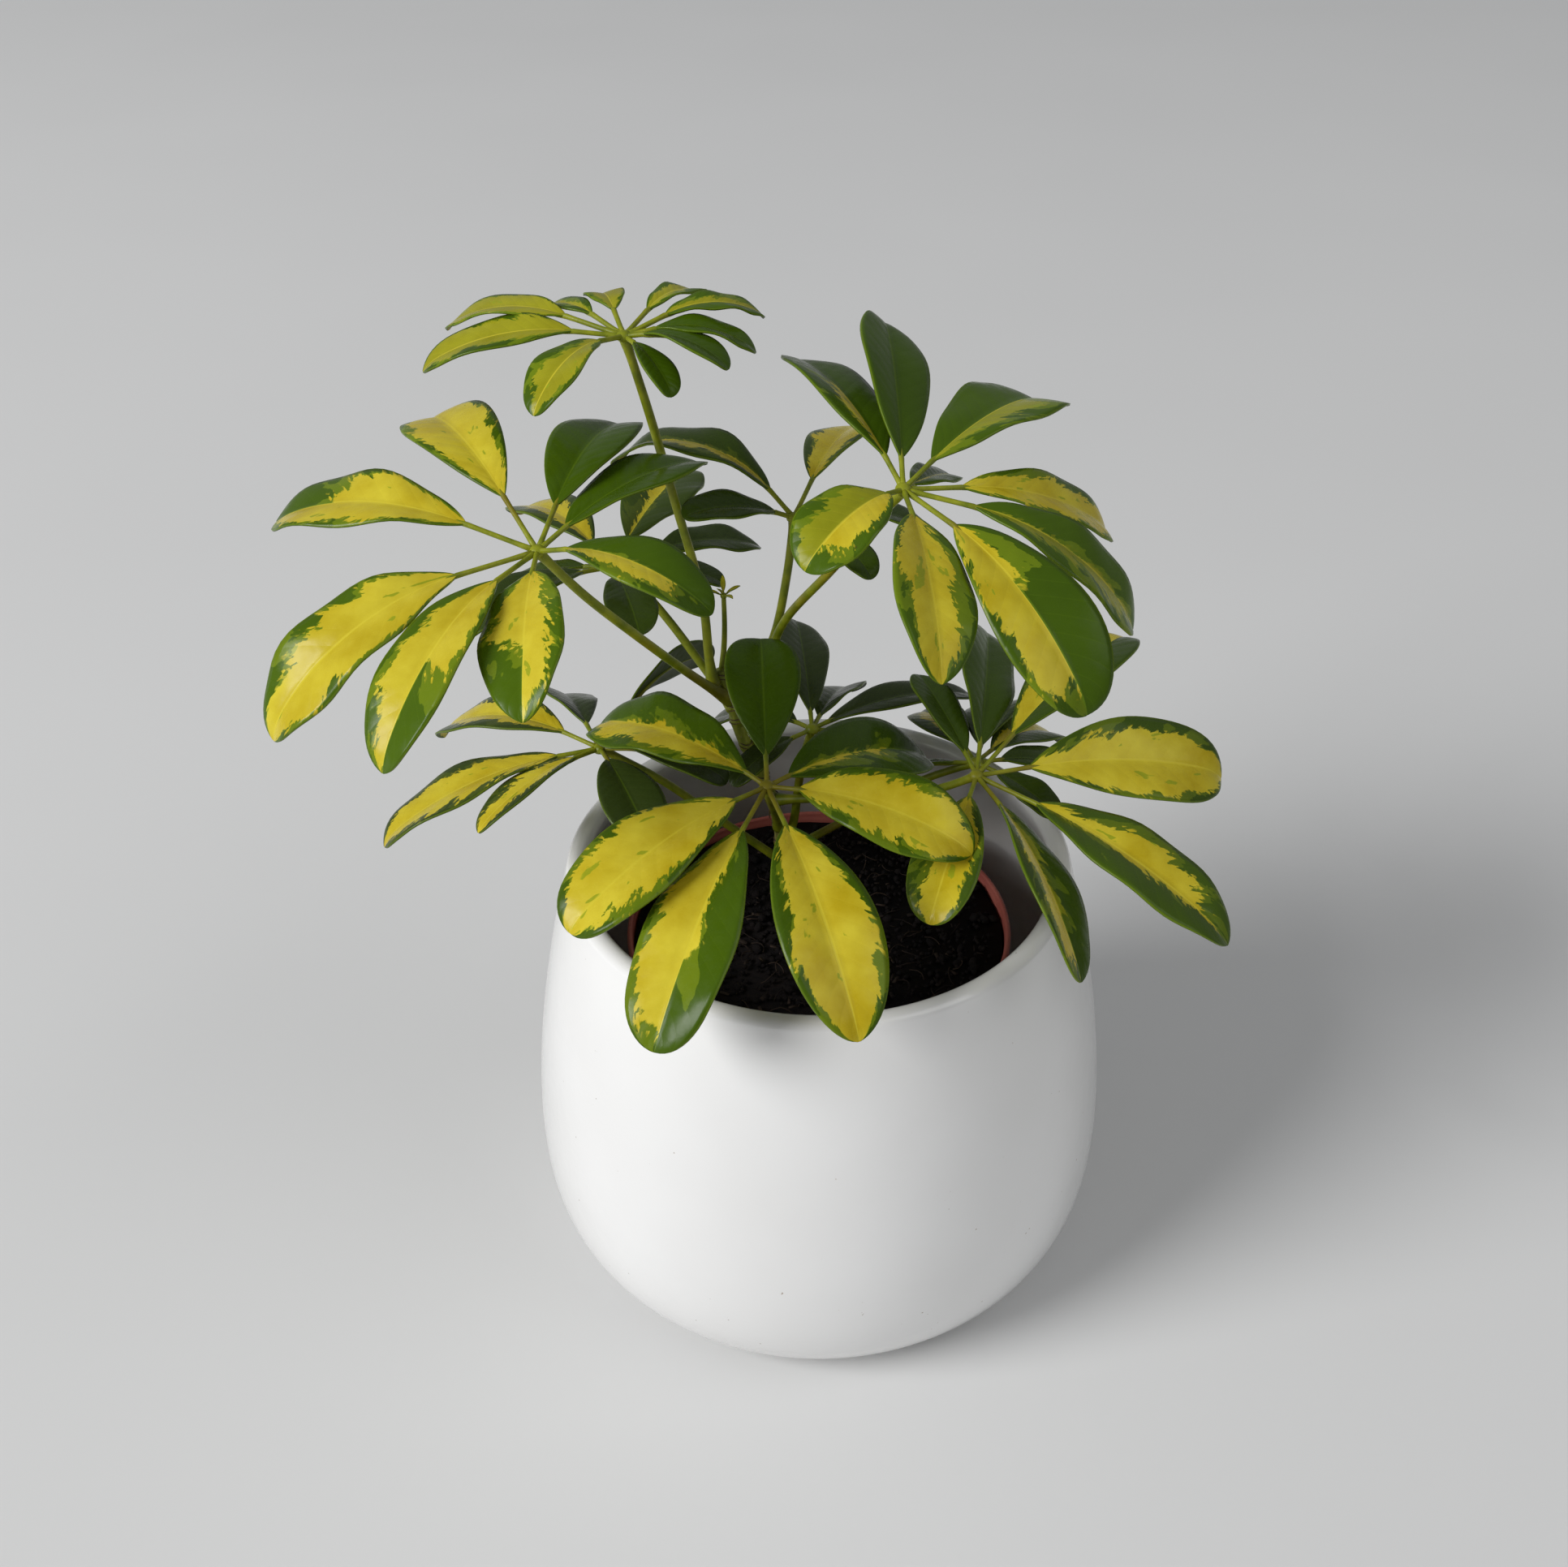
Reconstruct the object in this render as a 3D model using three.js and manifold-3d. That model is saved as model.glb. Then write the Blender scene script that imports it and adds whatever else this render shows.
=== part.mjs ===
// A potted dwarf umbrella plant: ten fronds on one short stem, in peat, in a plastic nursery pot
// that stands inside a round white ceramic cover pot. Millimetres, +Z up. The origin is the centre
// of the cover pot's flat base, and -Y faces the viewer.
import * as THREE from "three";
import { mergeVertices } from "three/addons/utils/BufferGeometryUtils.js";
import Module from "manifold-3d";

const wasm = await Module();
wasm.setup();

// Gap that neighbouring solids keep.
const CLEARANCE = 0.3;

// Cover pot
const POT_HEIGHT = 138;
const POT_BASE_RADIUS = 52;
const POT_WIDEST_RADIUS = 87.5;
const POT_WIDEST_HEIGHT = 47;
const POT_LIP_OUTER_RADIUS = 73.6;
const POT_MOUTH_RADIUS = 67.4;
const POT_WALL = 5;
const POT_FLOOR = 8;
const POT_LOWER_ROUNDNESS = 2.7;
const POT_SHOULDER_POWER = 1.66;
const POT_SIDES = 40;

// Nursery pot
const NURSERY_RIM_RADIUS = 57.5;
const NURSERY_RIM_BAND = 9;
const NURSERY_RIM_THICKNESS = 1.8;
const NURSERY_BASE_RADIUS = 42;
const NURSERY_WALL = 1.4;
const NURSERY_TOP = 112;
const NURSERY_SIDES = 32;
const DRAIN_HOLES = 6;
const DRAIN_HOLE_RADIUS = 4.5;
const DRAIN_CIRCLE_RADIUS = 28;
const DRILL_LENGTH = 8;
const DRILL_SIDES = 12;

// Soil
const SOIL_TOP = 110.2;
const SOIL_EDGE_DROP = 1.1;
const SOIL_LUMP = 0.8;
const SOIL_SIDES = 32;

// Stem: it stands in a hole in the soil and leans a little to the left
const STEM_RADIUS = 1.6;
const STEM_SIDES = 8;
const STEM_STEPS = 14;
const STEM_PATH = [
  [-9, 27, 66],
  [-10, 27, 90],
  [-11, 27, 108],
  [-12, 27, 127],
  [-14, 27, 137],
  [-18, 27, 149],
  [-23, 27, 162],
  [-26, 27, 175],
  [-29, 27, 184],
];

// Growing tip
const TIP_STALK_RADIUS = 0.75;
const TIP_STALK_STEPS = 6;
const TIP_LEAFLET_RADIUS = 0.65;
const TIP_LEAFLET_SUNK = 0.6;
const TIP_PATH = [
  [-28.2, 28.4, 183.5],
  [-27.4, 30, 190],
  [-27, 30, 198],
  [-27, 30, 207],
];
const TIP_LEAFLETS = [
  // around, rise, length
  [175, 25, 7],
  [95, 55, 5],
  [20, 35, 4.5],
  [300, 30, 5],
  [240, 60, 4],
];

// Fronds
const PETIOLE_RADIUS = 1.25;
const PETIOLE_SIDES = 6;
const PETIOLE_STEPS = 9;
const STALK_HALF_WIDTH = 0.75;
const STALK_THICKNESS = 1.4;
const STALK_START = 0.5;
const HUB_RADIUS = 2;
const BLADE_THICKNESS = 0.8;
const BLADE_FOLD = 12;
const BLADE_ROWS = [0, 0.1, 0.27, 0.45, 0.62, 0.78, 0.92, 1];
const BLADE_END_HALF_WIDTH = 0.9;

// Each frond has its hub, the way its whorl leans [towards, degrees], its petiole from the stem's
// axis to the hub, and its leaflets. A leaflet is [around, rise, stalk, length, width, droop, roll]
// in degrees and millimetres, measured in the whorl's own plane: rise is the angle at the hub,
// droop the bend along the blade, and roll its turn about the midrib.
const FRONDS = {
  frond_top: {
    hub: [-50, 25, 286],
    lean: [0, 0],
    petiole: [[-30.5, 24.6, 181], [-31.5, 25, 190], [-33, 26, 210], [-39, 26, 238], [-44.5, 25, 264]],
    leaflets: [
      [156, 9, 17, 40, 14, 45, -5],
      [178, 5, 13, 43, 16, 40, -10],
      [238, 12, 10, 31, 15, 62, 5],
      [304, 0, 5, 21, 10, 45, -15],
      [334, 15, 6, 26, 13, 52, -10],
      [3, 13, 8, 28, 12, 55, 0],
      [27, 17, 12, 30, 11, 55, 5],
      [59, 18, 11, 30, 10, 62, 0],
      [108, 16, 11, 19, 11, 50, 0],
      [134, 10, 13, 27, 11, 55, 0],
    ],
  },
  frond_upper_left: {
    hub: [-70, -20, 248],
    lean: [255, 12],
    petiole: [[-26, 27, 174], [-36, 15, 190], [-48, -3, 213], [-60, -14, 232]],
    leaflets: [
      [162, 15, 19, 60, 23, 50, 0],
      [120, 15, 19, 56, 24, 46, 0],
      [76, 10, 15, 55, 22, 46, 0],
      [48, 8, 10, 50, 20, 36, -10],
      [331, 23, 10, 44, 20, 60, -10],
      [272, 15, 12, 48, 22, 42, 15],
      [244, 14, 18, 59, 22, 57, 10],
      [215, 10, 22, 63, 24, 62, -5],
    ],
  },
  frond_upper_right: {
    hub: [21, -10, 260],
    lean: [290, 14],
    petiole: [[-19, 27, 151], [-18, 29, 165], [-15, 30, 182], [-10, 29, 199], [4, 10, 227]],
    leaflets: [
      [230, 20, 7, 33, 22, 62, 5],
      [115, 11, 11, 57, 22, 39, 20],
      [94, 18, 9, 57, 22, 30, 30],
      [53, 9, 12, 56, 27, 37, -10],
      [62, -22, 6, 32, 12, 15, 0],
      [19, -8, 16, 54, 19, 38, 5],
      [345, 0, 18, 56, 22, 60, -5],
      [306, 9, 20, 60, 26, 51, 8],
      [277, 14, 14, 53, 22, 41, -20],
    ],
  },
  frond_upper_back: {
    hub: [-7, 35, 229],
    lean: [90, 5],
    petiole: [[-24, 27, 166], [-20, 30, 178], [-13, 33, 192], [-9, 34, 212]],
    leaflets: [
      [154, 43, 10, 57, 20, 88, 0],
      [205, 25, 6, 28, 15, 35, -10],
      [72, 18, 17, 48, 20, 36, -13],
      [314, 0, 8, 25, 12, 40, 0],
      [10, 5, 10, 34, 15, 45, 0],
    ],
  },
  frond_left_back: {
    hub: [-60, 45, 208],
    lean: [90, 5],
    petiole: [[-25, 27, 171], [-33, 32, 181], [-43, 37, 194], [-52, 42, 203]],
    leaflets: [
      [72, 16, 13, 50, 22, 22, 8],
      [125, 17, 11, 48, 20, 44, 0],
      [30, 8, 14, 36, 15, 35, 10],
      [350, 5, 12, 22, 12, 30, 0],
      [287, 5, 8, 30, 15, 30, 0],
      [215, 5, 9, 48, 20, 38, 0],
      [165, -5, 8, 26, 11, 25, 0],
    ],
  },
  frond_lower_left: {
    hub: [-63, 12, 167],
    lean: [180, 10],
    petiole: [[-11, 27, 114], [-16, 25, 120], [-30, 21, 135], [-46, 17, 152]],
    leaflets: [
      [152, 18, 12, 52, 21, 55, 5],
      [200, 10, 12, 57, 22, 37, 5],
      [228, 15, 9, 38, 14, 34, 10],
      [112, 5, 13, 42, 18, 42, 30],
      [62, 10, 16, 48, 14, 45, -60],
      [293, 5, 8, 34, 18, 40, -10],
      [345, 0, 10, 30, 14, 45, 0],
    ],
  },
  frond_front: {
    hub: [-14, -21, 177],
    lean: [270, 8],
    petiole: [[-12, 27, 128], [-13, 20, 138], [-14, 6, 153], [-14, -10, 167]],
    leaflets: [
      [142, 8, 7, 59, 25, 40, -5],
      [93, 20, 9, 44, 22, 22, 5],
      [38, -2, 7, 57, 24, 42, 10],
      [342, 10, 9, 51, 24, 40, 16],
      [289, 1, 16, 64, 28, 42, -6],
      [250, 1, 18, 66, 27, 40, 8],
      [222, 10, 11, 59, 27, 40, 0],
    ],
  },
  frond_right: {
    hub: [44, -6, 170],
    lean: [320, 8],
    petiole: [[-14, 27, 138], [-3, 22, 142], [15, 12, 149], [32, 1, 160]],
    leaflets: [
      [12, 8, 15, 62, 28, 28, 22],
      [325, 3, 19, 65, 27, 27, -5],
      [292, 6, 14, 58, 22, 42, -33],
      [254, -2, 9, 42, 20, 34, 15],
      [112, 12, 8, 34, 14, 14, 15],
      [84, 14, 11, 60, 20, 31, 30],
      [52, 18, 17, 61, 24, 26, -15],
    ],
  },
  frond_back: {
    hub: [-2, 25, 165],
    lean: [60, 5],
    petiole: [[-12, 27, 121], [-8, 26.5, 129], [-6, 27, 145], [-4, 26, 157]],
    leaflets: [
      [96, 22, 6, 48, 17, 26, 20],
      [74, 4, 7, 42, 15, 38, -15],
      [27, 16, 5, 52, 16, 35, -3],
      [5, -5, 5, 28, 13, 35, 0],
      [137, -2, 6, 42, 17, 43, -10],
      [218, -5, 7, 24, 11, 35, 0],
    ],
  },
  frond_right_back: {
    hub: [47, 28, 151],
    lean: [0, 0],
    petiole: [[-11, 27, 114], [-6, 32, 117], [6, 35, 123], [20, 35, 133], [34, 32, 143]],
    leaflets: [
      [110, 4, 8, 38, 16, 38, -10],
      [172, -5, 6, 34, 13, 25, 30],
      [320, 0, 7, 24, 12, 30, 0],
      [20, -6, 8, 32, 15, 35, 0],
      [52, 0, 8, 44, 17, 45, 5],
      [76, 5, 8, 45, 18, 42, -15],
    ],
  },
};

const COLOURS = {
  glaze: { color: 0xecebe9, roughness: 0.18, metalness: 0 },
  plastic: { color: 0x8a4038, roughness: 0.5, metalness: 0 },
  peat: { color: 0x171416, roughness: 0.95, metalness: 0 },
  stem: { color: 0x6f7a22, roughness: 0.5, metalness: 0 },
  leaf: { color: 0x9aa52c, roughness: 0.35, metalness: 0 },
};

const radians = THREE.MathUtils.degToRad;
const vector = (point) => new THREE.Vector3(...point);

// Repeatable draw between -1 and 1 for the soil's lumps.
function makeDraw(seed) {
  let state = seed;
  return () => {
    state = (state * 1664525 + 1013904223) % 4294967296;
    return (state / 4294967296) * 2 - 1;
  };
}

// A closed geometry as a solid that can be joined and cut.
function toSolid(geometry) {
  const bare = geometry.clone();
  bare.deleteAttribute("normal");
  bare.deleteAttribute("uv");
  const merged = mergeVertices(bare, 1e-4);
  return new wasm.Manifold(
    new wasm.Mesh({
      numProp: 3,
      vertProperties: merged.attributes.position.array,
      triVerts: new Uint32Array(merged.index.array),
    }),
  );
}

function toGeometry(solid) {
  const { vertProperties, triVerts } = solid.getMesh();
  const geometry = new THREE.BufferGeometry();
  geometry.setAttribute("position", new THREE.BufferAttribute(vertProperties, 3));
  geometry.setIndex(new THREE.BufferAttribute(triVerts, 1));
  geometry.computeVertexNormals();
  return geometry;
}

// A profile of [radius, height] points turned about the Z axis.
function turn(profile, sides) {
  const points = profile.map(([radius, height]) => new THREE.Vector2(radius, height));
  return new THREE.LatheGeometry(points, sides).rotateX(Math.PI / 2);
}

function roundSection(radius, sides) {
  const corners = Array.from({ length: sides }, (_, i) => {
    const angle = (2 * Math.PI * i) / sides;
    return new THREE.Vector2(radius * Math.cos(angle), radius * Math.sin(angle));
  });
  return new THREE.Shape(corners);
}

function tubeAlong(points, radius, sides, steps) {
  const path = new THREE.CatmullRomCurve3(points.map(vector), false, "centripetal");
  return new THREE.ExtrudeGeometry(roundSection(radius, sides), { extrudePath: path, steps });
}

// Outside of the cover pot: a superellipse up to the widest line, then a shoulder that draws in.
function potOutline() {
  const belly = Array.from({ length: 10 }, (_, i) => {
    const angle = ((i / 9) * Math.PI) / 2;
    const power = 2 / POT_LOWER_ROUNDNESS;
    return [
      POT_BASE_RADIUS + (POT_WIDEST_RADIUS - POT_BASE_RADIUS) * Math.sin(angle) ** power,
      POT_WIDEST_HEIGHT * (1 - Math.cos(angle) ** power),
    ];
  });
  const lipHeight = POT_HEIGHT - 2.5;
  const shoulder = Array.from({ length: 6 }, (_, i) => {
    const t = (i + 1) / 6;
    return [
      POT_WIDEST_RADIUS - (POT_WIDEST_RADIUS - POT_LIP_OUTER_RADIUS) * t ** POT_SHOULDER_POWER,
      POT_WIDEST_HEIGHT + (lipHeight - POT_WIDEST_HEIGHT) * t,
    ];
  });
  return [...belly, ...shoulder];
}

function coverPot() {
  const outside = potOutline();
  const lip = [
    [POT_LIP_OUTER_RADIUS - 1.2, POT_HEIGHT - 0.7],
    [POT_LIP_OUTER_RADIUS - 3.1, POT_HEIGHT],
    [POT_MOUTH_RADIUS + 1.2, POT_HEIGHT - 0.8],
    [POT_MOUTH_RADIUS, POT_HEIGHT - 2.8],
    [POT_MOUTH_RADIUS + 0.8, POT_HEIGHT - 6],
  ];
  const inside = outside
    .filter(([, height], i) => i % 2 && height > POT_FLOOR + 1 && height < POT_HEIGHT - 12)
    .map(([radius, height]) => [radius - POT_WALL, height])
    .reverse();
  const floor = [
    [inside.at(-1)[0] - 7, POT_FLOOR],
    [0, POT_FLOOR],
  ];
  return turn([[0, 0], ...outside, ...lip, ...inside, ...floor], POT_SIDES);
}

const nurseryFloor = POT_FLOOR + CLEARANCE;
const nurseryRimInner = NURSERY_RIM_RADIUS - NURSERY_RIM_THICKNESS;
const nurseryShoulder = NURSERY_TOP - NURSERY_RIM_BAND;
const nurseryBodyTop = NURSERY_RIM_RADIUS - 3;

function nurseryPot() {
  const shell = turn(
    [
      [0, nurseryFloor],
      [NURSERY_BASE_RADIUS, nurseryFloor],
      [nurseryBodyTop, nurseryShoulder],
      [NURSERY_RIM_RADIUS - 0.6, nurseryShoulder + 1],
      [NURSERY_RIM_RADIUS, NURSERY_TOP - 0.6],
      [NURSERY_RIM_RADIUS - 0.6, NURSERY_TOP],
      [nurseryRimInner, NURSERY_TOP],
      [nurseryRimInner - 0.4, nurseryShoulder + 2],
      [nurseryBodyTop - NURSERY_WALL, nurseryShoulder - 1],
      [NURSERY_BASE_RADIUS - NURSERY_WALL, nurseryFloor + NURSERY_WALL],
      [0, nurseryFloor + NURSERY_WALL],
    ],
    NURSERY_SIDES,
  );
  let pot = toSolid(shell);
  for (let i = 0; i < DRAIN_HOLES; i++) {
    const angle = (2 * Math.PI * i) / DRAIN_HOLES;
    const x = DRAIN_CIRCLE_RADIUS * Math.cos(angle);
    const y = DRAIN_CIRCLE_RADIUS * Math.sin(angle);
    const [radius, length, sides] = [DRAIN_HOLE_RADIUS, DRILL_LENGTH, DRILL_SIDES];
    const drill = new THREE.CylinderGeometry(radius, radius, length, sides)
      .rotateX(Math.PI / 2)
      .translate(x, y, nurseryFloor);
    pot = pot.subtract(toSolid(drill));
  }
  return toGeometry(pot);
}

// Peat that fills the nursery pot almost to its rim, with a low lumpy top.
function soil(hole) {
  const floor = nurseryFloor + NURSERY_WALL + CLEARANCE;
  const bodyTop = nurseryShoulder - 1;
  const atFloor = NURSERY_BASE_RADIUS - NURSERY_WALL - CLEARANCE;
  const atBodyTop = nurseryBodyTop - NURSERY_WALL - 2 * CLEARANCE;
  const atRim = nurseryRimInner - 0.4 - CLEARANCE;
  const edge = SOIL_TOP - SOIL_EDGE_DROP;
  const rings = [0.95, 0.78, 0.58, 0.36, 0.15].map((share) => [atRim * share, SOIL_TOP]);
  const sides = [
    [atFloor, floor],
    [atBodyTop, bodyTop],
    [atRim, nurseryShoulder + 2.5],
    [atRim, edge],
  ];
  const geometry = turn([[0, floor], ...sides, ...rings, [0, SOIL_TOP]], SOIL_SIDES);
  const merged = mergeVertices(geometry.deleteAttribute("normal").deleteAttribute("uv"), 1e-3);
  const draw = makeDraw(7);
  const position = merged.attributes.position;
  for (let i = 0; i < position.count; i++) {
    if (position.getZ(i) > edge + CLEARANCE) {
      position.setZ(i, position.getZ(i) + SOIL_LUMP * draw());
    }
  }
  return toGeometry(toSolid(merged).subtract(hole));
}

// The stem, grown outwards by a margin.
function stemSolid(margin) {
  return toSolid(tubeAlong(STEM_PATH, STEM_RADIUS + margin, STEM_SIDES, STEM_STEPS));
}

// Directions in a whorl: along the leaflet at an elevation, across it, and out of its face.
function leafletAxes(around, elevation) {
  const along = new THREE.Vector3(
    Math.cos(elevation) * Math.cos(around),
    Math.cos(elevation) * Math.sin(around),
    Math.sin(elevation),
  );
  const across = new THREE.Vector3(-Math.sin(around), Math.cos(around), 0);
  const up = new THREE.Vector3().crossVectors(along, across);
  return { along, across, up };
}

// Half width of a blade, from 0 to 1, at a share of its length: widest past the middle.
function bladeShare(s) {
  const base = 0.85;
  const tip = 0.52;
  const widest = base / (base + tip);
  return (s ** base * (1 - s) ** tip) / (widest ** base * (1 - widest) ** tip);
}

// Closes two like grids of points, three across, into one solid whose faces are split alike.
function closeGrids(upperPoints, lowerPoints) {
  const rows = upperPoints.length / 3;
  const count = upperPoints.length;
  const upper = Array.from(new THREE.PlaneGeometry(1, 1, 2, rows - 1).index.array);
  const triangles = [...upper];
  for (let i = 0; i < upper.length; i += 3) {
    triangles.push(upper[i] + count, upper[i + 2] + count, upper[i + 1] + count);
  }
  const margin = [];
  for (let row = 0; row < rows; row++) margin.push(row * 3);
  margin.push(count - 2);
  for (let row = rows - 1; row >= 0; row--) margin.push(row * 3 + 2);
  margin.push(1);
  margin.forEach((a, i) => {
    const b = margin[(i + 1) % margin.length];
    triangles.push(a, a + count, b, b, a + count, b + count);
  });
  const positions = [...upperPoints, ...lowerPoints].flatMap((point) => point.toArray());
  const geometry = new THREE.BufferGeometry();
  geometry.setAttribute("position", new THREE.Float32BufferAttribute(positions, 3));
  geometry.setIndex(triangles);
  return geometry;
}

// One leaflet from the whorl's middle: a thin stalk that widens into a blade, folded a little
// along its midrib and bent down towards its tip.
function leafletGeometry([around, rise, stalk, length, width, droop, roll]) {
  const upper = [];
  const lower = [];
  const addRow = (centre, s, half, thickness, foldDegrees) => {
    const { along, across, up } = leafletAxes(radians(around), radians(rise - droop * s));
    const side = across.applyAxisAngle(along, radians(roll));
    const out = up.applyAxisAngle(along, radians(roll));
    const fold = radians(foldDegrees);
    for (const sign of [-1, 0, 1]) {
      const point = centre
        .clone()
        .addScaledVector(side, sign * half * Math.cos(fold))
        .addScaledVector(out, Math.abs(sign) * half * Math.sin(fold));
      upper.push(point.clone().addScaledVector(out, thickness / 2));
      lower.push(point.clone().addScaledVector(out, -thickness / 2));
    }
  };
  const along = leafletAxes(radians(around), radians(rise)).along;
  const start = along.clone().multiplyScalar(STALK_START);
  addRow(start, 0, STALK_HALF_WIDTH, STALK_THICKNESS, 0);
  const centre = along.clone().multiplyScalar(stalk);
  let last = 0;
  for (const s of BLADE_ROWS) {
    const pieces = 4;
    for (let i = 0; i < pieces && s > last; i++) {
      const middle = last + ((s - last) * (i + 0.5)) / pieces;
      const step = leafletAxes(radians(around), radians(rise - droop * middle)).along;
      centre.addScaledVector(step, (length * (s - last)) / pieces);
    }
    last = s;
    const half = Math.max((width / 2) * bladeShare(s), BLADE_END_HALF_WIDTH);
    const thickness = s === 0 ? STALK_THICKNESS : BLADE_THICKNESS;
    addRow(centre, s, half, thickness, s === 0 ? 0 : BLADE_FOLD);
  }
  return closeGrids(upper, lower);
}

// The turn that leans a whorl towards a heading.
function leanMatrix([towards, degrees]) {
  const axis = new THREE.Vector3(-Math.sin(radians(towards)), Math.cos(radians(towards)), 0);
  return new THREE.Matrix4().makeRotationAxis(axis, radians(degrees));
}

// Petiole, hub and leaflets in one solid, cut clear of the stem.
function frond({ hub, lean, petiole, leaflets }, stemClear) {
  const place = leanMatrix(lean).setPosition(...hub);
  const pieces = leaflets.map(leafletGeometry);
  pieces.push(new THREE.IcosahedronGeometry(HUB_RADIUS, 0));
  let solid = toSolid(tubeAlong([...petiole, hub], PETIOLE_RADIUS, PETIOLE_SIDES, PETIOLE_STEPS));
  for (const piece of pieces) solid = solid.add(toSolid(piece.applyMatrix4(place)));
  return toGeometry(solid.subtract(stemClear));
}

// The growing tip: a short stalk that ends in a few unopened leaflets.
function growingTip(stemClear) {
  let solid = toSolid(tubeAlong(TIP_PATH, TIP_STALK_RADIUS, PETIOLE_SIDES, TIP_STALK_STEPS));
  const end = vector(TIP_PATH.at(-1));
  for (const [around, rise, length] of TIP_LEAFLETS) {
    const { along } = leafletAxes(radians(around), radians(rise));
    const radius = TIP_LEAFLET_RADIUS;
    const spike = new THREE.CylinderGeometry(radius / 2, radius, length, 5);
    spike.translate(0, length / 2, 0);
    const upright = new THREE.Vector3(0, 1, 0);
    spike.applyQuaternion(new THREE.Quaternion().setFromUnitVectors(upright, along));
    spike.translate(end.x, end.y, end.z - TIP_LEAFLET_SUNK);
    solid = solid.add(toSolid(spike));
  }
  return toGeometry(solid.subtract(stemClear));
}

function addMesh(group, name, geometry, finish) {
  const mesh = new THREE.Mesh(geometry, new THREE.MeshStandardMaterial(COLOURS[finish]));
  mesh.name = name;
  group.add(mesh);
}

const stemClear = stemSolid(CLEARANCE);
const plant = new THREE.Group();
addMesh(plant, "main_stem", toGeometry(stemSolid(0)), "stem");
for (const [name, spec] of Object.entries(FRONDS)) {
  addMesh(plant, name, frond(spec, stemClear), "leaf");
}
addMesh(plant, "growing_tip", growingTip(stemClear), "stem");

const pots = new THREE.Group();
addMesh(pots, "cover_pot", coverPot(), "glaze");
addMesh(pots, "nursery_pot", nurseryPot(), "plastic");
addMesh(pots, "soil", soil(stemClear), "peat");

const pottedPlant = new THREE.Group();
pottedPlant.add(pots, plant);

export default pottedPlant;
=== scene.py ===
import math
import random

import bmesh
import bpy
from mathutils import Matrix, Quaternion, Vector, geometry, noise


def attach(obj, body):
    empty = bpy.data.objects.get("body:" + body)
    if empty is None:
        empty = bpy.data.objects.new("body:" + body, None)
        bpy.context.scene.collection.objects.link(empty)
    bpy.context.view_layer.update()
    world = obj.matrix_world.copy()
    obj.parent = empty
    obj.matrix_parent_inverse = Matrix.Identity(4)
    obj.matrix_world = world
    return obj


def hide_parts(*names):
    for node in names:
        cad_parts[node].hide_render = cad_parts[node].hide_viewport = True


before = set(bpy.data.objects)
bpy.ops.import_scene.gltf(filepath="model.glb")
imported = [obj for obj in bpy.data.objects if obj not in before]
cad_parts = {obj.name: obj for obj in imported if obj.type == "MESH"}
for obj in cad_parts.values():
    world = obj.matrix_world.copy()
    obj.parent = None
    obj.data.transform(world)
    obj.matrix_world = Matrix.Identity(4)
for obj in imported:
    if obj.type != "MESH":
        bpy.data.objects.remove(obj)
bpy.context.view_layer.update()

# Camera
# It stands an arm's length from the plant and looks down on it, as in the photograph, with the
# plant slightly right of the middle.
CAMERA_PLACE = Vector((0, -0.432, 0.469))
CAMERA_DOWN = math.radians(35.3)
CAMERA_LENS = 42.857
CAMERA_SHIFT = -0.0223
camera = bpy.data.objects.new("camera", bpy.data.cameras.new("camera"))
camera.data.sensor_width = 36
camera.data.lens = CAMERA_LENS
camera.data.shift_x = CAMERA_SHIFT
camera.location = CAMERA_PLACE
camera.rotation_euler = (math.pi / 2 - CAMERA_DOWN, 0, 0)
bpy.context.scene.collection.objects.link(camera)
bpy.context.scene.camera = camera


# Cover pot
# A bellied pot of white earthenware, cast in a mould, with a rolled lip and a thick glossy glaze
# that has run in faint waves. It is plain inside, and flat under its base.
MM = 0.001
POT_HEIGHT = 138
POT_BASE_RADIUS = 52
POT_WIDEST_RADIUS = 87.5
POT_WIDEST_HEIGHT = 47
POT_LIP_OUTER_RADIUS = 73.6
POT_MOUTH_RADIUS = 67.4
POT_WALL = 5
POT_FLOOR = 8
POT_LOWER_ROUNDNESS = 2.7
POT_SHOULDER_POWER = 1.66
POT_SHOULDER_TOP = POT_HEIGHT - 2.5
POT_LIP_RISE = 2.6
POT_LIP_DEPTH = 6
POT_LIP_STEP = 0.5
POT_NECK_DEPTH = 10
POT_FLOOR_CORNER = 6
POT_FOOT_BEVEL = 1
POT_SEGMENTS = 144


def pot_outline(steps):
    """The pot's outer [radius, height] line: a superellipse up to the widest line, then a shoulder."""
    line = []
    power = 2 / POT_LOWER_ROUNDNESS
    for i in range(steps + 1):
        angle = i / steps * math.pi / 2
        radius = POT_BASE_RADIUS + (POT_WIDEST_RADIUS - POT_BASE_RADIUS) * math.sin(angle) ** power
        line.append((radius, POT_WIDEST_HEIGHT * (1 - max(math.cos(angle), 0) ** power)))
    for i in range(1, steps + 1):
        t = i / steps
        radius = POT_WIDEST_RADIUS - (POT_WIDEST_RADIUS - POT_LIP_OUTER_RADIUS) * t**POT_SHOULDER_POWER
        line.append((radius, POT_WIDEST_HEIGHT + (POT_SHOULDER_TOP - POT_WIDEST_HEIGHT) * t))
    return line


def arc(middle, across, up, turn, steps):
    """[radius, height] points of an oval arc that starts level with its middle, the start left out."""
    angles = [turn * i / steps for i in range(1, steps + 1)]
    return [(middle[0] + across * math.cos(a), middle[1] + up * math.sin(a)) for a in angles]


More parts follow.
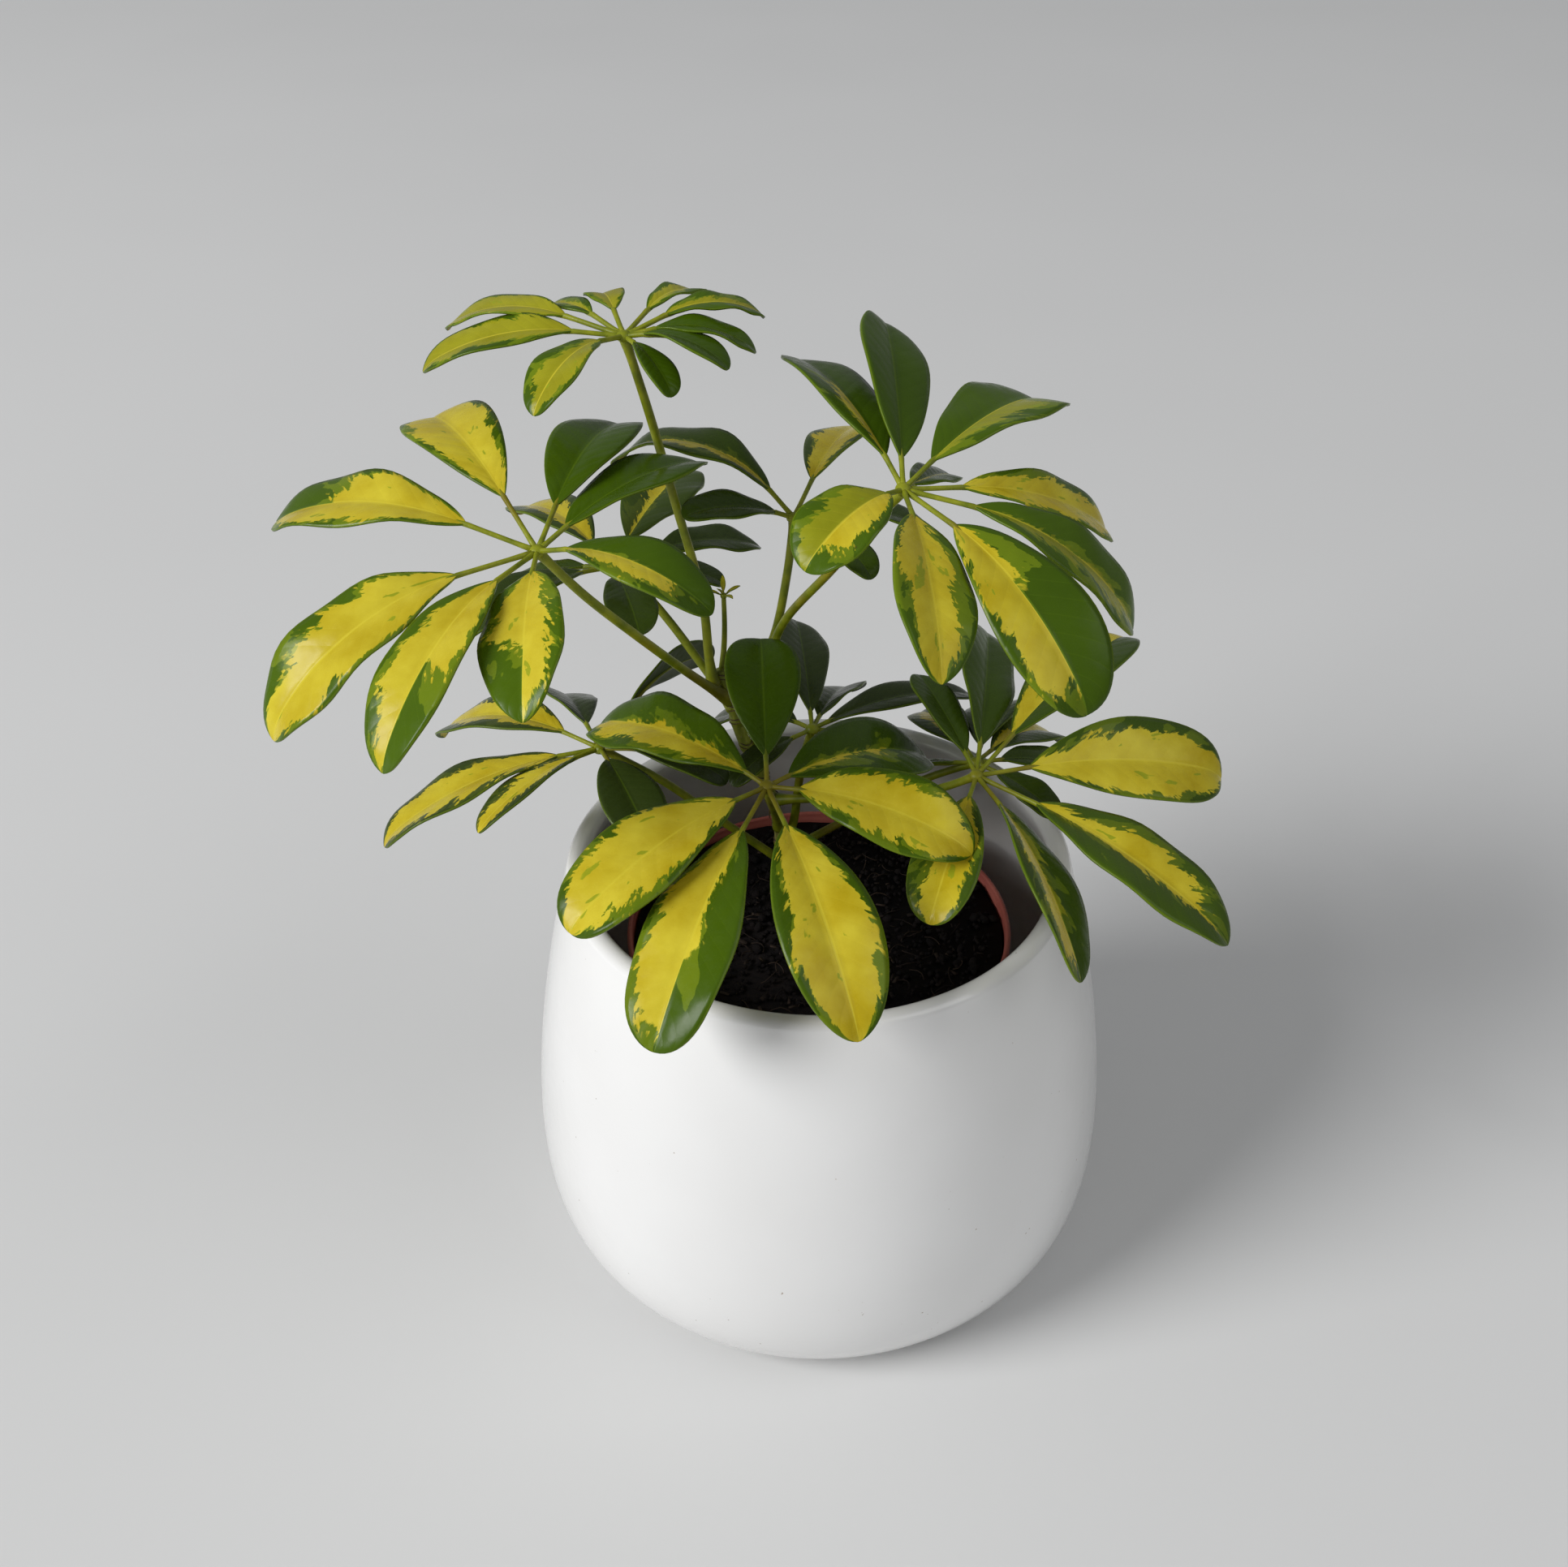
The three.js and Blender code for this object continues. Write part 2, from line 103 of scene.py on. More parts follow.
def turned(profile, segments):
    """A bmesh turned from a [radius, height] line in millimetres that starts and ends on the axis."""
    bm = bmesh.new()
    verts = [bm.verts.new((radius * MM, 0, height * MM)) for radius, height in profile]
    edges = [bm.edges.new(pair) for pair in zip(verts, verts[1:])]
    bmesh.ops.spin(
        bm,
        geom=verts + edges,
        cent=(0, 0, 0),
        axis=(0, 0, 1),
        angle=2 * math.pi,
        steps=segments,
        use_merge=True,
    )
    bmesh.ops.remove_doubles(bm, verts=bm.verts, dist=1e-6)
    bmesh.ops.recalc_face_normals(bm, faces=bm.faces)
    return bm


def piece_from(bm, name, *materials):
    """The finished piece: the bmesh as a smooth object at the origin."""
    mesh = bpy.data.meshes.new(name)
    bm.to_mesh(mesh)
    bm.free()
    mesh.polygons.foreach_set("use_smooth", [True] * len(mesh.polygons))
    for material in materials:
        mesh.materials.append(material)
    piece = bpy.data.objects.new(name, mesh)
    bpy.context.scene.collection.objects.link(piece)
    return piece


class Finish:
    """A node material, with short ways to add nodes to it."""

    def __init__(self, name):
        self.material = bpy.data.materials.new(name)
        self.material.use_nodes = True
        self.tree = self.material.node_tree
        self.shader = self.tree.nodes["Principled BSDF"]
        self.place = self.add("TexCoord").outputs["Object"]

    def add(self, kind, **values):
        node = self.tree.nodes.new("ShaderNode" + kind)
        for key, value in values.items():
            setattr(node, key, value)
        return node

    def put(self, value, socket):
        """A link from a node's output, or a plain value, to a socket."""
        if isinstance(value, bpy.types.NodeSocket):
            self.tree.links.new(value, socket)
        else:
            socket.default_value = value

    def math(self, operation, *values, clamp=False):
        node = self.add("Math", operation=operation, use_clamp=clamp)
        for value, socket in zip(values, node.inputs):
            self.put(value, socket)
        return node.outputs[0]

    def plus(self, first, second):
        return self.math("ADD", first, second)

    def minus(self, first, second):
        return self.math("SUBTRACT", first, second)

    def times(self, first, second):
        return self.math("MULTIPLY", first, second)

    def noise(self, scale, detail=3.0, rough=0.55, place=None):
        """Cloudy noise, with its scale in clouds to the metre."""
        node = self.add("TexNoise")
        self.put(place or self.place, node.inputs["Vector"])
        node.inputs["Scale"].default_value = scale
        node.inputs["Detail"].default_value = detail
        node.inputs["Roughness"].default_value = rough
        return node.outputs[0]

    def span(self, value, low, high, to_low=0.0, to_high=1.0, smooth=False):
        """The value carried from one range to another, and held inside it."""
        node = self.add("MapRange", interpolation_type="SMOOTHSTEP" if smooth else "LINEAR")
        for socket, number in zip(node.inputs, (value, low, high, to_low, to_high)):
            self.put(number, socket)
        return node.outputs[0]

    def mix(self, share, first, second):
        """The first colour at a share of 0, and the second at 1."""
        node = self.add("Mix", data_type="RGBA")
        self.put(share, node.inputs["Factor"])
        self.put(first, node.inputs[6])
        self.put(second, node.inputs[7])
        return node.outputs[2]

    def bump(self, height, distance, strength=1.0, over=None):
        """A relief of a depth in metres, over another one where that is given."""
        node = self.add("Bump")
        node.inputs["Strength"].default_value = strength
        node.inputs["Distance"].default_value = distance
        self.put(height, node.inputs["Height"])
        if over:
            self.put(over, node.inputs["Normal"])
        return node.outputs[0]


def white_glaze():
    glaze = Finish("white_glaze")
    cloud = glaze.noise(14, 2)
    cream = (0.79, 0.785, 0.775, 1)
    white = (0.84, 0.838, 0.832, 1)
    colour = glaze.mix(glaze.span(cloud, 0.3, 0.7), cream, white)
    iron_specks = glaze.span(glaze.noise(620, 1), 0.79, 0.83)
    colour = glaze.mix(iron_specks, colour, (0.42, 0.36, 0.3, 1))
    glaze.put(colour, glaze.shader.inputs["Base Color"])
    smear = glaze.noise(40, 4)
    glaze.put(glaze.span(smear, 0.25, 0.75, 0.12, 0.24), glaze.shader.inputs["Roughness"])
    waves = glaze.bump(glaze.noise(32, 2), 0.0006, 0.35)
    skin = glaze.bump(glaze.noise(320, 2), 0.00006, 0.5, waves)
    glaze.put(skin, glaze.shader.inputs["Normal"])
    glaze.shader.inputs["Coat Weight"].default_value = 0.4
    glaze.shader.inputs["Coat Roughness"].default_value = 0.06
    return glaze.material


outside = pot_outline(26)
inside = [
    (radius - POT_WALL, height)
    for radius, height in outside
    if POT_FLOOR + POT_FLOOR_CORNER < height < POT_HEIGHT - POT_NECK_DEPTH
]
lip_middle = ((POT_LIP_OUTER_RADIUS + POT_MOUTH_RADIUS) / 2, POT_HEIGHT - POT_LIP_RISE)
lip_half = (POT_LIP_OUTER_RADIUS - POT_MOUTH_RADIUS) / 2
lip = arc(lip_middle, lip_half, POT_LIP_RISE, math.pi, 15)
lip.append((POT_MOUTH_RADIUS + POT_LIP_STEP, POT_HEIGHT - POT_LIP_DEPTH))
corner_middle = (inside[0][0] - POT_FLOOR_CORNER, POT_FLOOR + POT_FLOOR_CORNER)
floor_edge = arc(corner_middle, POT_FLOOR_CORNER, -POT_FLOOR_CORNER, math.pi / 2, 7)
profile = [(0, 0), (POT_BASE_RADIUS - POT_FOOT_BEVEL, 0), *outside[1:], *lip]
profile += [*reversed(inside), *floor_edge, (0, POT_FLOOR)]
cover_pot = piece_from(turned(profile, POT_SEGMENTS), "cover_pot_glazed", white_glaze())
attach(cover_pot, "root")
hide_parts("cover_pot")


# Nursery pot
# The thin pot that the plant was sold in: moulded reddish-brown plastic with a stiff rim band,
# faint mould rings and six drain holes in its floor. It stands loose in the cover pot.
NURSERY_RIM_RADIUS = 57.5
NURSERY_RIM_BAND = 9
NURSERY_RIM_THICKNESS = 1.8
NURSERY_BASE_RADIUS = 42
NURSERY_WALL = 1.4
NURSERY_TOP = 112
NURSERY_SEGMENTS = 96
NURSERY_FLOOR = POT_FLOOR + 0.3
MOULD_RINGS = 2600
DRAIN_HOLES = 6
DRAIN_HOLE_RADIUS = 4.5
DRAIN_CIRCLE_RADIUS = 28
DRAIN_PUNCH_DEPTH = 8


def brown_plastic():
    plastic = Finish("brown_plastic")
    dust = plastic.noise(60, 5, 0.65)
    red_brown = (0.37, 0.085, 0.066, 1)
    dusty = (0.46, 0.13, 0.1, 1)
    colour = plastic.mix(plastic.span(dust, 0.35, 0.7), red_brown, dusty)
    plastic.put(colour, plastic.shader.inputs["Base Color"])
    rubbed = plastic.noise(150, 3)
    plastic.put(plastic.span(rubbed, 0.3, 0.7, 0.36, 0.56), plastic.shader.inputs["Roughness"])
    height = plastic.add("SeparateXYZ")
    plastic.put(plastic.place, height.inputs[0])
    rings = plastic.math("SINE", plastic.times(height.outputs[2], MOULD_RINGS))
    moulded = plastic.bump(rings, 0.0001, 0.4)
    grain = plastic.bump(plastic.noise(900, 2), 0.00005, 0.6, moulded)
    plastic.put(grain, plastic.shader.inputs["Normal"])
    return plastic.material


shoulder = NURSERY_TOP - NURSERY_RIM_BAND
rim_inner = NURSERY_RIM_RADIUS - NURSERY_RIM_THICKNESS
profile = [
    (0, NURSERY_FLOOR),
    (NURSERY_BASE_RADIUS - 1.5, NURSERY_FLOOR),
    (NURSERY_BASE_RADIUS, NURSERY_FLOOR + 1.5),
    (NURSERY_RIM_RADIUS - 3, shoulder - 0.4),
    (NURSERY_RIM_RADIUS - 2.6, shoulder),
    (NURSERY_RIM_RADIUS - 0.9, shoulder + 0.5),
    (NURSERY_RIM_RADIUS - 0.5, shoulder + 1.1),
    (NURSERY_RIM_RADIUS - 0.2, NURSERY_TOP - 1.2),
    (NURSERY_RIM_RADIUS - 0.35, NURSERY_TOP - 0.4),
    (NURSERY_RIM_RADIUS - 0.9, NURSERY_TOP),
    (rim_inner + 0.3, NURSERY_TOP - 0.1),
    (rim_inner, NURSERY_TOP - 0.6),
    (rim_inner - 0.4, shoulder + 2),
    (rim_inner - 0.8, shoulder + 0.4),
    (NURSERY_RIM_RADIUS - 3 - NURSERY_WALL, shoulder - 1),
    (NURSERY_BASE_RADIUS - NURSERY_WALL, NURSERY_FLOOR + NURSERY_WALL),
    (0, NURSERY_FLOOR + NURSERY_WALL),
]
nursery_pot = piece_from(turned(profile, NURSERY_SEGMENTS), "nursery_pot_plastic", brown_plastic())
punches = bmesh.new()
for i in range(DRAIN_HOLES):
    angle = 2 * math.pi * i / DRAIN_HOLES
    middle = Vector((math.cos(angle), math.sin(angle), 0)) * DRAIN_CIRCLE_RADIUS * MM
    middle.z = NURSERY_FLOOR * MM
    bmesh.ops.create_cone(
        punches,
        cap_ends=True,
        segments=24,
        radius1=DRAIN_HOLE_RADIUS * MM,
        radius2=DRAIN_HOLE_RADIUS * MM,
        depth=DRAIN_PUNCH_DEPTH * MM,
        matrix=Matrix.Translation(middle),
    )
punch = piece_from(punches, "drain_punch")
cut = nursery_pot.modifiers.new("drain_holes", "BOOLEAN")
cut.object = punch
cut.solver = "EXACT"
bpy.context.view_layer.update()
cut_mesh = bpy.data.meshes.new_from_object(
    nursery_pot.evaluated_get(bpy.context.evaluated_depsgraph_get())
)
nursery_pot.modifiers.clear()
nursery_pot.data = cut_mesh
bpy.data.objects.remove(punch)
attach(nursery_pot, "root")
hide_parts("nursery_pot")


# Soil
# Moist dark peat with crumbs, bark chips and root fibres, pressed down by hand and sunk a little
# below the rim. It fills the nursery pot to the wall.
SOIL_TOP = 110.2
SOIL_RADIUS = 54.8
SOIL_EDGE_DROP = 1.1
SOIL_UNEVENNESS = 0.6
SOIL_WAVES = ((1.5, 0.055), (0.9, 0.17), (0.55, 0.5))
SOIL_SEGMENTS = 120
SOIL_RINGS = 42
SOIL_RING_WIDTH = 1.2
SOIL_CRUMBS = 1500
SOIL_CHIPS = 130
SOIL_FIBRES = 90
FIBRE_POINTS = 7
FIBRE_RADIUS = 0.16
draw = random.Random(11)
# noise_vector, which roughens the crumbs and chips, would take its seed from the clock.
noise.seed_set(11)


def black_peat():
    peat = Finish("black_peat")
    lumps = peat.noise(260, 6, 0.7)
    black = (0.0045, 0.0038, 0.0042, 1)
    brown = (0.017, 0.0125, 0.0115, 1)
    colour = peat.mix(peat.span(lumps, 0.35, 0.72), black, brown)
    damp = peat.span(peat.noise(45, 3), 0.5, 0.7, 0, 0.5)
    colour = peat.mix(damp, colour, (0.004, 0.0035, 0.0042, 1))
    peat.put(colour, peat.shader.inputs["Base Color"])
    peat.put(peat.span(lumps, 0.3, 0.7, 0.62, 0.95), peat.shader.inputs["Roughness"])
    peat.put(peat.bump(peat.noise(700, 6, 0.75), 0.0007, 0.9), peat.shader.inputs["Normal"])
    peat.shader.inputs["Specular IOR Level"].default_value = 0.12
    return peat.material


def peat_fibre():
    fibre = Finish("peat_fibre")
    tint = fibre.noise(90, 2)
    wet = (0.011, 0.008, 0.007, 1)
    dry = (0.045, 0.03, 0.022, 1)
    colour = fibre.mix(fibre.span(tint, 0.35, 0.65), wet, dry)
    fibre.put(colour, fibre.shader.inputs["Base Color"])
    fibre.shader.inputs["Roughness"].default_value = 0.8
    fibre.shader.inputs["Specular IOR Level"].default_value = 0.15
    fibre.put(fibre.bump(fibre.noise(1400, 3), 0.0002, 0.6), fibre.shader.inputs["Normal"])
    return fibre.material


def soil_height(x, y):
    """Height of the peat's surface in millimetres over a place given in millimetres."""
    here = Vector((x, y, 3.7))
    rise = sum(height * noise.noise(here * closeness) for height, closeness in SOIL_WAVES)
    edge = math.hypot(x, y) / SOIL_RADIUS
    return SOIL_TOP + rise * SOIL_UNEVENNESS - SOIL_EDGE_DROP * edge**8


soil_bm = bmesh.new()
bmesh.ops.create_circle(soil_bm, cap_ends=True, radius=SOIL_RADIUS, segments=SOIL_SEGMENTS)
for i in range(SOIL_RINGS):
    bmesh.ops.inset_region(
        soil_bm,
        faces=[face for face in soil_bm.faces if len(face.verts) == SOIL_SEGMENTS],
        thickness=SOIL_RING_WIDTH,
        use_even_offset=True,
    )
for vert in soil_bm.verts:
    vert.co.z = soil_height(vert.co.x, vert.co.y)
rim = [edge for edge in soil_bm.edges if edge.is_boundary]
SOIL_SIDES = (
    # radius, height: down the rim band, in at its shoulder, then down the tapered wall
    (54.8, 105.5),
    (52.5, 102),
    (40.3, NURSERY_FLOOR + NURSERY_WALL + 0.3),
)
for radius, height in SOIL_SIDES:
    skirt = bmesh.ops.extrude_edge_only(soil_bm, edges=rim)["geom"]
    rim = [item for item in skirt if isinstance(item, bmesh.types.BMEdge)]
    for vert in skirt:
        if isinstance(vert, bmesh.types.BMVert):
            around = Vector((vert.co.x, vert.co.y, 0)).normalized()
            vert.co = around * radius + Vector((0, 0, height))
bmesh.ops.holes_fill(soil_bm, edges=[edge for edge in soil_bm.edges if edge.is_boundary])


def scatter_place(reach):
    """A random place on the peat, in millimetres."""
    radius = reach * math.sqrt(draw.random())
    angle = draw.uniform(0, 2 * math.pi)
    x = radius * math.cos(angle)
    y = radius * math.sin(angle)
    return Vector((x, y, soil_height(x, y)))


def random_turn():
    """A turn by any angle about any axis."""
    axis = Vector((draw.uniform(-1, 1), draw.uniform(-1, 1), draw.uniform(-1, 1)))
    return Matrix.Rotation(draw.uniform(0, 2 * math.pi), 4, axis.normalized())


for i in range(SOIL_CRUMBS):
    size = draw.uniform(0.35, 1.1) if i % 9 else draw.uniform(1.1, 2.0)
    shape = Matrix.Diagonal((size, size * draw.uniform(0.6, 1), size * draw.uniform(0.5, 0.9), 1))
    matrix = Matrix.Translation(scatter_place(SOIL_RADIUS - 1.6)) @ random_turn() @ shape
    crumb = bmesh.ops.create_icosphere(soil_bm, subdivisions=1, radius=1, matrix=matrix)["verts"]
    for vert in crumb:
        vert.co += Vector(noise.noise_vector(vert.co * 0.9)) * 0.3 * size
body_faces = len(soil_bm.faces)
for i in range(SOIL_CHIPS):
    length = draw.uniform(1.2, 3.4)
    shape = Matrix.Diagonal((length, length * draw.uniform(0.15, 0.4), 0.35, 1))
    lean = Matrix.Rotation(draw.uniform(-0.35, 0.35), 4, "X")
    heading = Matrix.Rotation(draw.uniform(0, 6.28), 4, "Z")
    place = scatter_place(SOIL_RADIUS - 4) + Vector((0, 0, 0.2))
    chip = bmesh.ops.create_cube(
        soil_bm, size=1, matrix=Matrix.Translation(place) @ heading @ lean @ shape
    )["verts"]
    for vert in chip:
        vert.co += Vector(noise.noise_vector(vert.co * 1.3)) * 0.35


def grow_tube(bm, points, radii, sides):
    """A closed tube: a ring at the first point, extruded from point to point."""
    middles = [Vector(point) for point in points]
    directions = []
    for i in range(len(middles)):
        ahead = middles[min(i + 1, len(middles) - 1)]
        behind = middles[max(i - 1, 0)]
        directions.append((ahead - behind).normalized())
    turn = Vector((0, 0, 1)).rotation_difference(directions[0])
    place = Matrix.LocRotScale(middles[0], turn, Vector((radii[0],) * 3))
    ring = bmesh.ops.create_circle(bm, cap_ends=True, radius=1, segments=sides, matrix=place)["verts"]
    made = list(ring)
    edges = list({edge for vert in ring for edge in vert.link_edges})
    for i in range(1, len(middles)):
        grown = bmesh.ops.extrude_edge_only(bm, edges=edges)["geom"]
        ring = [item for item in grown if isinstance(item, bmesh.types.BMVert)]
        edges = [item for item in grown if isinstance(item, bmesh.types.BMEdge)]
        turn = directions[i - 1].rotation_difference(directions[i])
        size = radii[i] / radii[i - 1]
        step = Matrix.Translation(middles[i]) @ turn.to_matrix().to_4x4()
        step @= Matrix.Scale(size, 4) @ Matrix.Translation(-middles[i - 1])
        bmesh.ops.transform(bm, matrix=step, verts=ring)
        made += ring
    bmesh.ops.contextual_create(bm, geom=edges)
    faces = list({face for vert in made for face in vert.link_faces})
    bmesh.ops.recalc_face_normals(bm, faces=faces)


for i in range(SOIL_FIBRES):
    start = scatter_place(SOIL_RADIUS - 9)
    heading = draw.uniform(0, 2 * math.pi)
    bend = draw.uniform(-0.5, 0.5)
    points = []
    for step in range(FIBRE_POINTS):
        points.append(start.copy())
        heading += bend
        start += Vector((math.cos(heading), math.sin(heading), 0)) * draw.uniform(0.8, 1.6)
        start.z = soil_height(start.x, start.y) + 0.35 + 0.4 * math.sin(step)
    grow_tube(soil_bm, points, [FIBRE_RADIUS] * FIBRE_POINTS, 4)
soil_bm.faces.ensure_lookup_table()
for face in soil_bm.faces[body_faces:]:
    face.material_index = 1
bmesh.ops.scale(soil_bm, vec=(MM, MM, MM), verts=soil_bm.verts)
soil = piece_from(soil_bm, "peat_soil", black_peat(), peat_fibre())
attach(soil, "root")
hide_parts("soil")


# Main stem
# The young trunk: green, turning to tan bark low down, a little thicker where each petiole leaves
# it, with ring scars of old leaves and two short aerial roots.
STEM_RADIUS = 1.75
STEM_FOOT_SHARE = 1.12
STEM_TAPER = 0.0009
STEM_NODE_SWELL = 0.16
STEM_NODE_WIDTH = 1.3
STEM_SEGMENTS = 20
SCAR_RADIUS = 0.17
SCAR_SEGMENTS = 14
SCAR_GAP = 1.3
STEM_PATH = [
    (-9, 27, 66),
    (-10, 27, 90),
    (-11, 27, 108),
    (-12, 27, 127),
    (-14, 27, 137),
    (-18, 27, 149),
    (-23, 27, 162),
    (-26, 27, 175),
    (-29, 27, 184),
]
STEM_NODE_HEIGHTS = (111, 116, 122, 129, 139, 146, 152, 158, 167, 172, 176, 182)


def smooth_line(points, steps):
    """Points along a smooth curve through the given ones."""
    line = [Vector(point) for point in points]
    made = [line[0]]
    for i in range(len(line) - 1):
        before = line[max(i - 1, 0)]
        after = line[min(i + 2, len(line) - 1)]
        first = line[i] + (line[i + 1] - before) / 6
        second = line[i + 1] - (after - line[i]) / 6
        made += geometry.interpolate_bezier(line[i], first, second, line[i + 1], steps + 1)[1:]
    return made


def green_bark():
    bark = Finish("green_bark")
    height = bark.add("SeparateXYZ")
    bark.put(bark.place, height.inputs[0])
    stretched = bark.add("Mapping")
    bark.put(bark.place, stretched.inputs["Vector"])
    stretched.inputs["Scale"].default_value = (1, 1, 0.3)
    fissures = bark.noise(900, 4, 0.65, stretched.outputs[0])
    youth = bark.span(height.outputs[2], 0.118, 0.15)
    fine = bark.span(fissures, 0.4, 0.65)
    green = bark.mix(fine, (0.18, 0.215, 0.008, 1), (0.29, 0.32, 0.02, 1))
    tan = bark.mix(fine, (0.12, 0.105, 0.03, 1), (0.24, 0.215, 0.07, 1))
    colour = bark.mix(youth, tan, green)
    pores = bark.span(bark.noise(1500, 1), 0.68, 0.74)
    colour = bark.mix(pores, colour, (0.34, 0.28, 0.15, 1))
    bark.put(colour, bark.shader.inputs["Base Color"])
    bark.put(bark.span(fissures, 0.3, 0.7, 0.42, 0.62), bark.shader.inputs["Roughness"])
    bark.put(bark.bump(fissures, 0.00035, 0.7), bark.shader.inputs["Normal"])
    return bark.material


def brown_scar():
    scar = Finish("brown_scar")
    tint = scar.noise(800, 3)
    dark = (0.045, 0.028, 0.012, 1)
    dry = (0.16, 0.1, 0.04, 1)
    colour = scar.mix(scar.span(tint, 0.35, 0.65), dark, dry)
    scar.put(colour, scar.shader.inputs["Base Color"])
    scar.shader.inputs["Roughness"].default_value = 0.75
    scar.put(scar.bump(tint, 0.0003, 0.6), scar.shader.inputs["Normal"])
    return scar.material


stem_bm = bmesh.new()
line = smooth_line(STEM_PATH, 14)
radii = []
for point in line:
    distances = [(point.z - height) / STEM_NODE_WIDTH for height in STEM_NODE_HEIGHTS]
    nearness = min(sum(math.exp(-(distance**2)) for distance in distances), 1.2)
    swell = 1 + STEM_NODE_SWELL * nearness
    taper = STEM_FOOT_SHARE - STEM_TAPER * (point.z - STEM_PATH[0][2])
    radii.append(STEM_RADIUS * swell * taper)
grow_tube(stem_bm, line, radii, STEM_SEGMENTS)
bark_faces = len(stem_bm.faces)


def stem_middle(height):
    """The stem's middle at a height."""
    return min(line, key=lambda point: abs(point.z - height))


for height in STEM_NODE_HEIGHTS:
    middle = stem_middle(height)
    radius = radii[line.index(middle)] + 0.05
    for lift in (0, SCAR_GAP):
        ring = []
        for i in range(SCAR_SEGMENTS + 1):
            angle = 2 * math.pi * i / SCAR_SEGMENTS
            wobble = 0.25 * math.sin(2 * angle + height)
            out = Vector((math.cos(angle), math.sin(angle), 0)) * radius
            ring.append(middle + out + Vector((0, 0, wobble + lift)))
        grow_tube(stem_bm, ring, [SCAR_RADIUS] * len(ring), 6)
AERIAL_ROOTS = (
    # radius at the stem, how much thinner at each step, path
    (0.42, 0.015, [(-15.5, 25.4, 143), (-15.2, 24, 140.5), (-14.9, 23.6, 137), (-15, 23.8, 133.5)]),
    (0.45, 0.03, [(-12.4, 25.6, 125), (-11.6, 24.2, 123.5), (-11.2, 23.6, 121)]),
)
for radius, thinning, path in AERIAL_ROOTS:
    root_line = smooth_line(path, 5)
    grow_tube(stem_bm, root_line, [radius - thinning * i for i in range(len(root_line))], 8)
stem_bm.faces.ensure_lookup_table()
for face in stem_bm.faces[bark_faces:]:
    face.material_index = 1
bmesh.ops.scale(stem_bm, vec=(MM, MM, MM), verts=stem_bm.verts)
main_stem = piece_from(stem_bm, "main_stem_bark", green_bark(), brown_scar())
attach(main_stem, "root")
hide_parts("main_stem")


# Fronds
# Each is one compound leaf: a slim round petiole, thicker at the stem, and at its top a whorl of
# leathery leaflets on thin stalks, glossy green, splashed with clear yellow from the midrib
# outwards. The underside is paler, with the midrib standing out.
PETIOLE_RADIUS = 1.3
HUB_RADIUS = 2.1
STALK_RADIUS = 0.68
BLADE_THICKNESS = 0.55
BLADE_LENGTHWISE = 34
BLADE_ACROSS = 14
MIDRIB_STEPS = 80
NARROWEST_HALF = 0.45
HOOK_START = 0.82
HOOK_LENGTH = 0.18
HOOK_LEAST = 8
HOOK_SPREAD = 26
SHEATH_SWELL = 0.75
KNUCKLE_SWELL = 0.35
BLADE_MARKS = ("underside", "yellow", "yellow_end", "olive", "age_and_shade", "leaf_seed")
OLIVE_SPLASH = 0.85
WHOLE_LENGTH = 1.3
